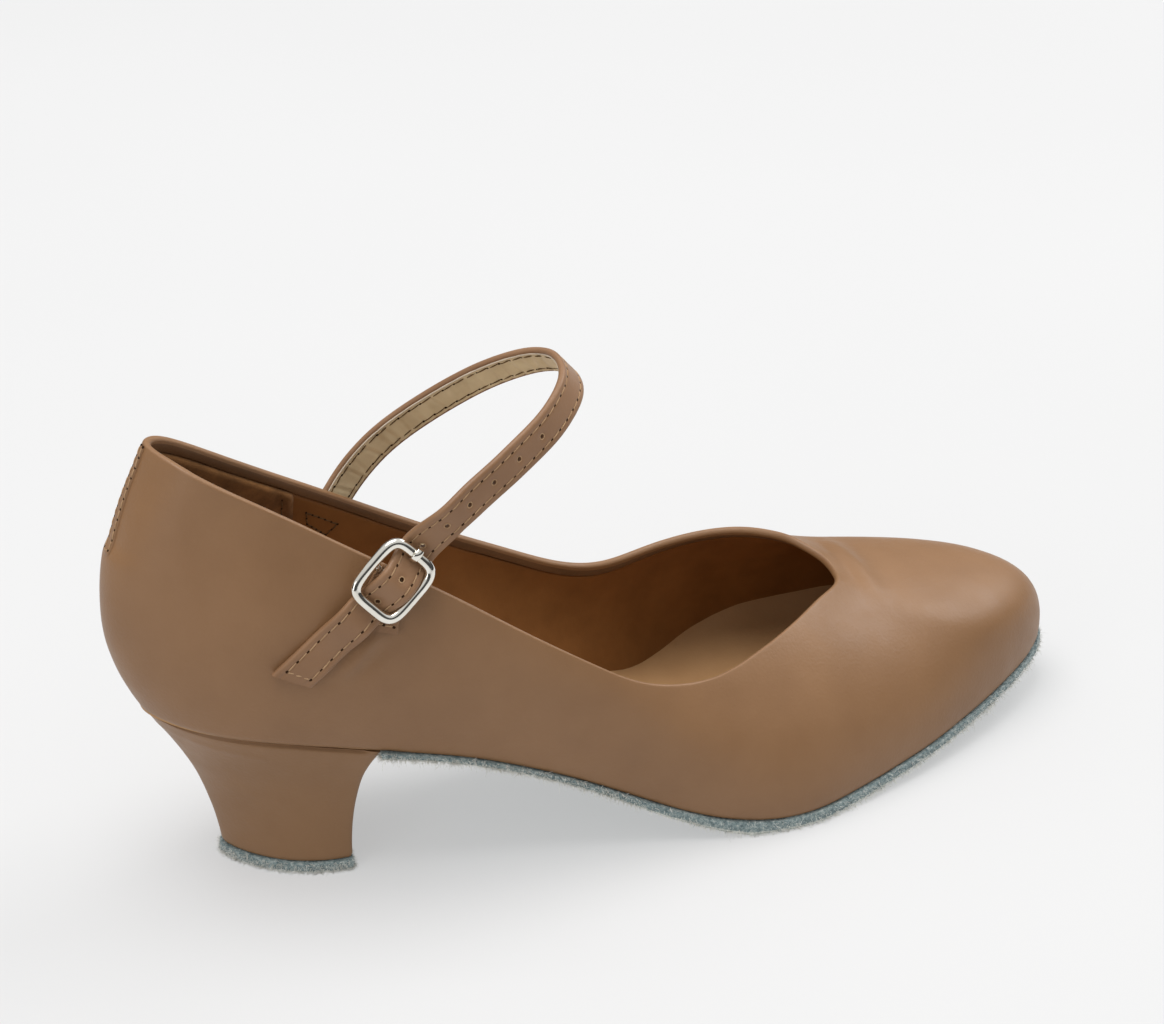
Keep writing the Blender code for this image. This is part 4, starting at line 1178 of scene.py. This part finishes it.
def make_sock(wall, finish):
    """Insole with its sock, cupped up against the lining."""
    x = wall.grid[:, 0, 0]
    inner_side = wall.grid[:, 0, 1] > 0
    rise = np.where(inner_side, np.interp(x, *np.array(SOCK_RISE).T), 0.7)
    for _ in range(6):
        rise = (np.roll(rise, 1) + rise + np.roll(rise, -1)) / 3
    goal = sock_floor(x) + rise
    runs = np.array([[np.interp(goal[i], wall.grid[i, :100, 2], wall.run[i, :100])]
                     for i in range(FINE_RIBS)])
    points, normals = wall_at(wall, runs)
    edge = (points - (lining_depth(points) - 0.1)[..., None] * normals)[:, 0]
    spine_x = np.clip(edge[:, 0], *SPINE_ENDS)
    spine = np.column_stack([spine_x, sum(side_ys(-2.4, spine_x)) / 2])
    width = np.linalg.norm(edge[:, :2] - spine, axis=1)
    lift = edge[:, 2] - sock_floor(edge[:, 0])
    shares = np.concatenate([np.linspace(0.0, 0.3, 12), np.linspace(0.36, 1.0, 12)])
    upper_rings, lower_rings = [], []
    for share in shares:
        plan = edge[:, :2] * (1 - share) + spine * share
        cup = lift * np.exp(-share * width / SOCK_CUP)
        flat = np.column_stack([plan, np.zeros(len(plan))])
        height = sock_floor(plan[:, 0]) + cup + 0.06 * waves(flat, 20.0, 103, 2) * min(share * 4, 1)
        upper_rings.append(np.column_stack([plan, height]))
    for share in (0.03, 0.3, 1.0):
        plan = edge[:, :2] * (1 - share) + spine * share
        lower_rings.append(np.column_stack([plan, sole_top(plan[:, 0]) + GAP + 0.05]))
    stack = lower_rings[::-1] + upper_rings
    points = np.vstack(stack)
    make_object("insole_sock", "insole", points, skin_faces(len(stack), FINE_RIBS, close_rings=True),
                [finish["sock"]])


def make_back_strip(wall, finish, stitching):
    """Narrow leather strip over the back seam, sewn along both edges."""
    ribs = np.linspace(-STRIP_REACH, STRIP_REACH, 13)
    before = np.floor(ribs).astype(int)
    fields = []
    for field in wall:
        blend = (ribs - before).reshape(-1, *[1] * (field.ndim - 1))
        fields.append(np.take(field, before, axis=0, mode="wrap") * (1 - blend)
                      + np.take(field, before + 1, axis=0, mode="wrap") * blend)
    part = Wall(*fields)
    low = np.array([np.interp(STRIP_LOW, part.grid[i, :, 2], part.run[i]) for i in range(len(ribs))])
    across = np.abs(ribs) / STRIP_REACH
    low = low + 0.8 * across ** 3
    share = np.linspace(0.0, 1.0, 60)[None, :]
    runs = low[:, None] + (part.total - 0.2 - low)[:, None] * share
    points, normals = wall_at(part, runs)
    edge = np.sqrt(np.clip(1 - across ** 6, 0, 1))
    ends = smooth_step(0.0, 0.035, share[0])
    thick = STRIP_THICK * edge[:, None] * ends[None, :]
    over = points + (outer_relief(points) * smooth_step(0.0, TOP_FADE, part.total[:, None] - runs)
                     + thick + 0.02)[..., None] * normals
    under = points - 0.3 * normals
    sections = np.concatenate([over, under[:, ::-1]], axis=1)
    count, size = sections.shape[:2]
    make_object("back_strip", "upper", sections.reshape(-1, 3), tube_faces(count, size),
                [finish["upper_leather"]])
    for row in (2, count - 3):
        stitching.append((over[row, 3:], normals[row, 3:], 2.5))
    stitching.append((over[2:count - 2, 3], normals[2:count - 2, 3], 2.2))


def make_attachment_box(wall, stitching):
    """Box of stitches that holds the strap, seen through the inner quarter's lining."""
    corners = ((47.1, 72.3), (54.7, 67.2), (51.9, 64.9), (47.4, 69.0), (47.1, 72.3))
    inner = wall.grid - (WALL + 0.05) * wall.normals
    tree = tree_of(inner[:, ::4])
    for start, end in zip(corners[:-1], corners[1:]):
        path, facing = [], []
        for t in np.linspace(0.0, 1.0, 7):
            x = start[0] * (1 - t) + end[0] * t
            z = start[1] * (1 - t) + end[1] * t
            point, normal, _, _ = tree.ray_cast(Vector((x, 0.0, z)), Vector((0.0, 1.0, 0.0)))
            path.append(np.array(point))
            facing.append(-np.array(normal) * np.sign(normal[1]))
        stitching.append((np.array(path), np.array(facing), CROSS_PITCH))


# Stage
CAMERA = {"azimuth": -21.332, "elevation": 27.032, "distance": 650.0, "focal": 2825.6,
          "middle": (617.115, 608.995), "centre": (115.0, 0.0, 43.0), "picture": (1164, 1024)}


def place_camera():
    """Camera at the photo's viewing angle."""
    azimuth, elevation = np.radians(CAMERA["azimuth"]), np.radians(CAMERA["elevation"])
    back = np.array([np.sin(azimuth), -np.cos(azimuth), np.tan(elevation)]) * np.cos(elevation)
    right = np.array([np.cos(azimuth), np.sin(azimuth), 0.0])
    up = np.cross(back, right)
    wide, high = CAMERA["picture"]
    distance, focal = CAMERA["distance"], CAMERA["focal"]
    place = (np.array(CAMERA["centre"]) + back * distance
             - right * (CAMERA["middle"][0] - wide / 2) * distance / focal
             + up * (CAMERA["middle"][1] - high / 2) * distance / focal)
    data = bpy.data.cameras.new("camera")
    data.sensor_width = 36.0
    data.lens = focal / wide * 36.0
    data.clip_start = 0.01
    camera = link("camera", data)
    turn = Matrix([(*row,) for row in np.column_stack([right, up, back])]).to_4x4()
    camera.matrix_world = Matrix.Translation(Vector(((place + SHIFT) * MM).tolist())) @ turn
    bpy.context.scene.camera = camera


def area_light(name, place, aim, size, power):
    """Soft rectangular light at a place, in metres, turned to a point."""
    data = bpy.data.lights.new(name, "AREA")
    data.shape = "RECTANGLE"
    data.size, data.size_y = size
    data.energy = power
    lamp = link(name, data)
    lamp.location = place
    lamp.rotation_euler = (Vector(aim) - Vector(place)).to_track_quat("-Z", "Y").to_euler()


def make_stage():
    """Pale floor, soft room light and three soft boxes."""
    mesh = bpy.data.meshes.new("floor")
    side = 8.0
    mesh.from_pydata([(-side, -side, 0.0), (side, -side, 0.0), (side, side, 0.0), (-side, side, 0.0)], [],
                     [(0, 1, 2, 3)])
    material, tree, shader, where = new_material("floor_finish", Roughness=0.9, Specular_IOR_Level=0.1,
                                                 Emission_Strength=0.42, Emission_Color=(1.0, 1.0, 1.0, 1.0))
    tone = ramp(tree, noise_of(tree, where, 300.0), ((0.3, grey(0.325)), (0.7, grey(0.335))))
    tree.links.new(tone, shader.inputs["Base Color"])
    mesh.materials.append(material)
    link("floor", mesh)

    world = bpy.data.worlds.new("room")
    bpy.context.scene.world = world
    world.use_nodes = True
    tree = world.node_tree
    way = add(tree, "SeparateXYZ", {"Vector": add(tree, "TexCoord").outputs["Generated"]}).outputs["Z"]
    sky = ramp(tree, way, ((0.0, grey(0.06)), (0.28, grey(0.10)), (0.42, grey(0.80)), (1.0, grey(1.0))))
    tree.links.new(sky, tree.nodes["Background"].inputs["Color"])
    tree.nodes["Background"].inputs["Strength"].default_value = 0.8
    aim = (0.0, 0.0, 0.04)
    area_light("key", (-0.35, 0.10, 2.00), aim, (1.6, 1.3), 29.0)
    area_light("side", (-1.7, -1.0, 0.6), aim, (0.8, 1.0), 5.5)
    area_light("rim", (1.5, 0.4, 1.35), aim, (1.3, 1.0), 15.0)
    bpy.context.scene.view_settings.view_transform = "Standard"


def main():
    """Dress the shoe and set the stage."""
    place_camera()
    finish = make_finishes()
    wall = read_wall()
    tree = tree_of(upper_face(RIB_COUNT, RIB_STEPS))
    axes = buckle_axes(tree)
    line = strap_line(tree, 0.33)
    outside, inside = [], []
    make_upper_skin(wall, finish)
    make_lining(wall, finish)
    make_heel_pad(wall, finish, inside)
    make_attachment_box(wall, inside)
    make_back_strip(wall, finish, outside)
    stitches("upper_stitches", "upper", outside, finish, hole=0.28)
    stitches("lining_stitches", "upper", inside, finish, thread="thread_dark", hole=0.28)
    make_sock(wall, finish)
    make_strap(line, finish)
    make_strap_stitches(line, finish)
    make_buckle(axes, finish)
    make_tab(axes, finish)
    make_heel(finish)
    lift = make_heel_lift(finish)
    sole = make_outsole(finish)
    make_fuzz(sole, lift, finish)
    make_stage()


main()
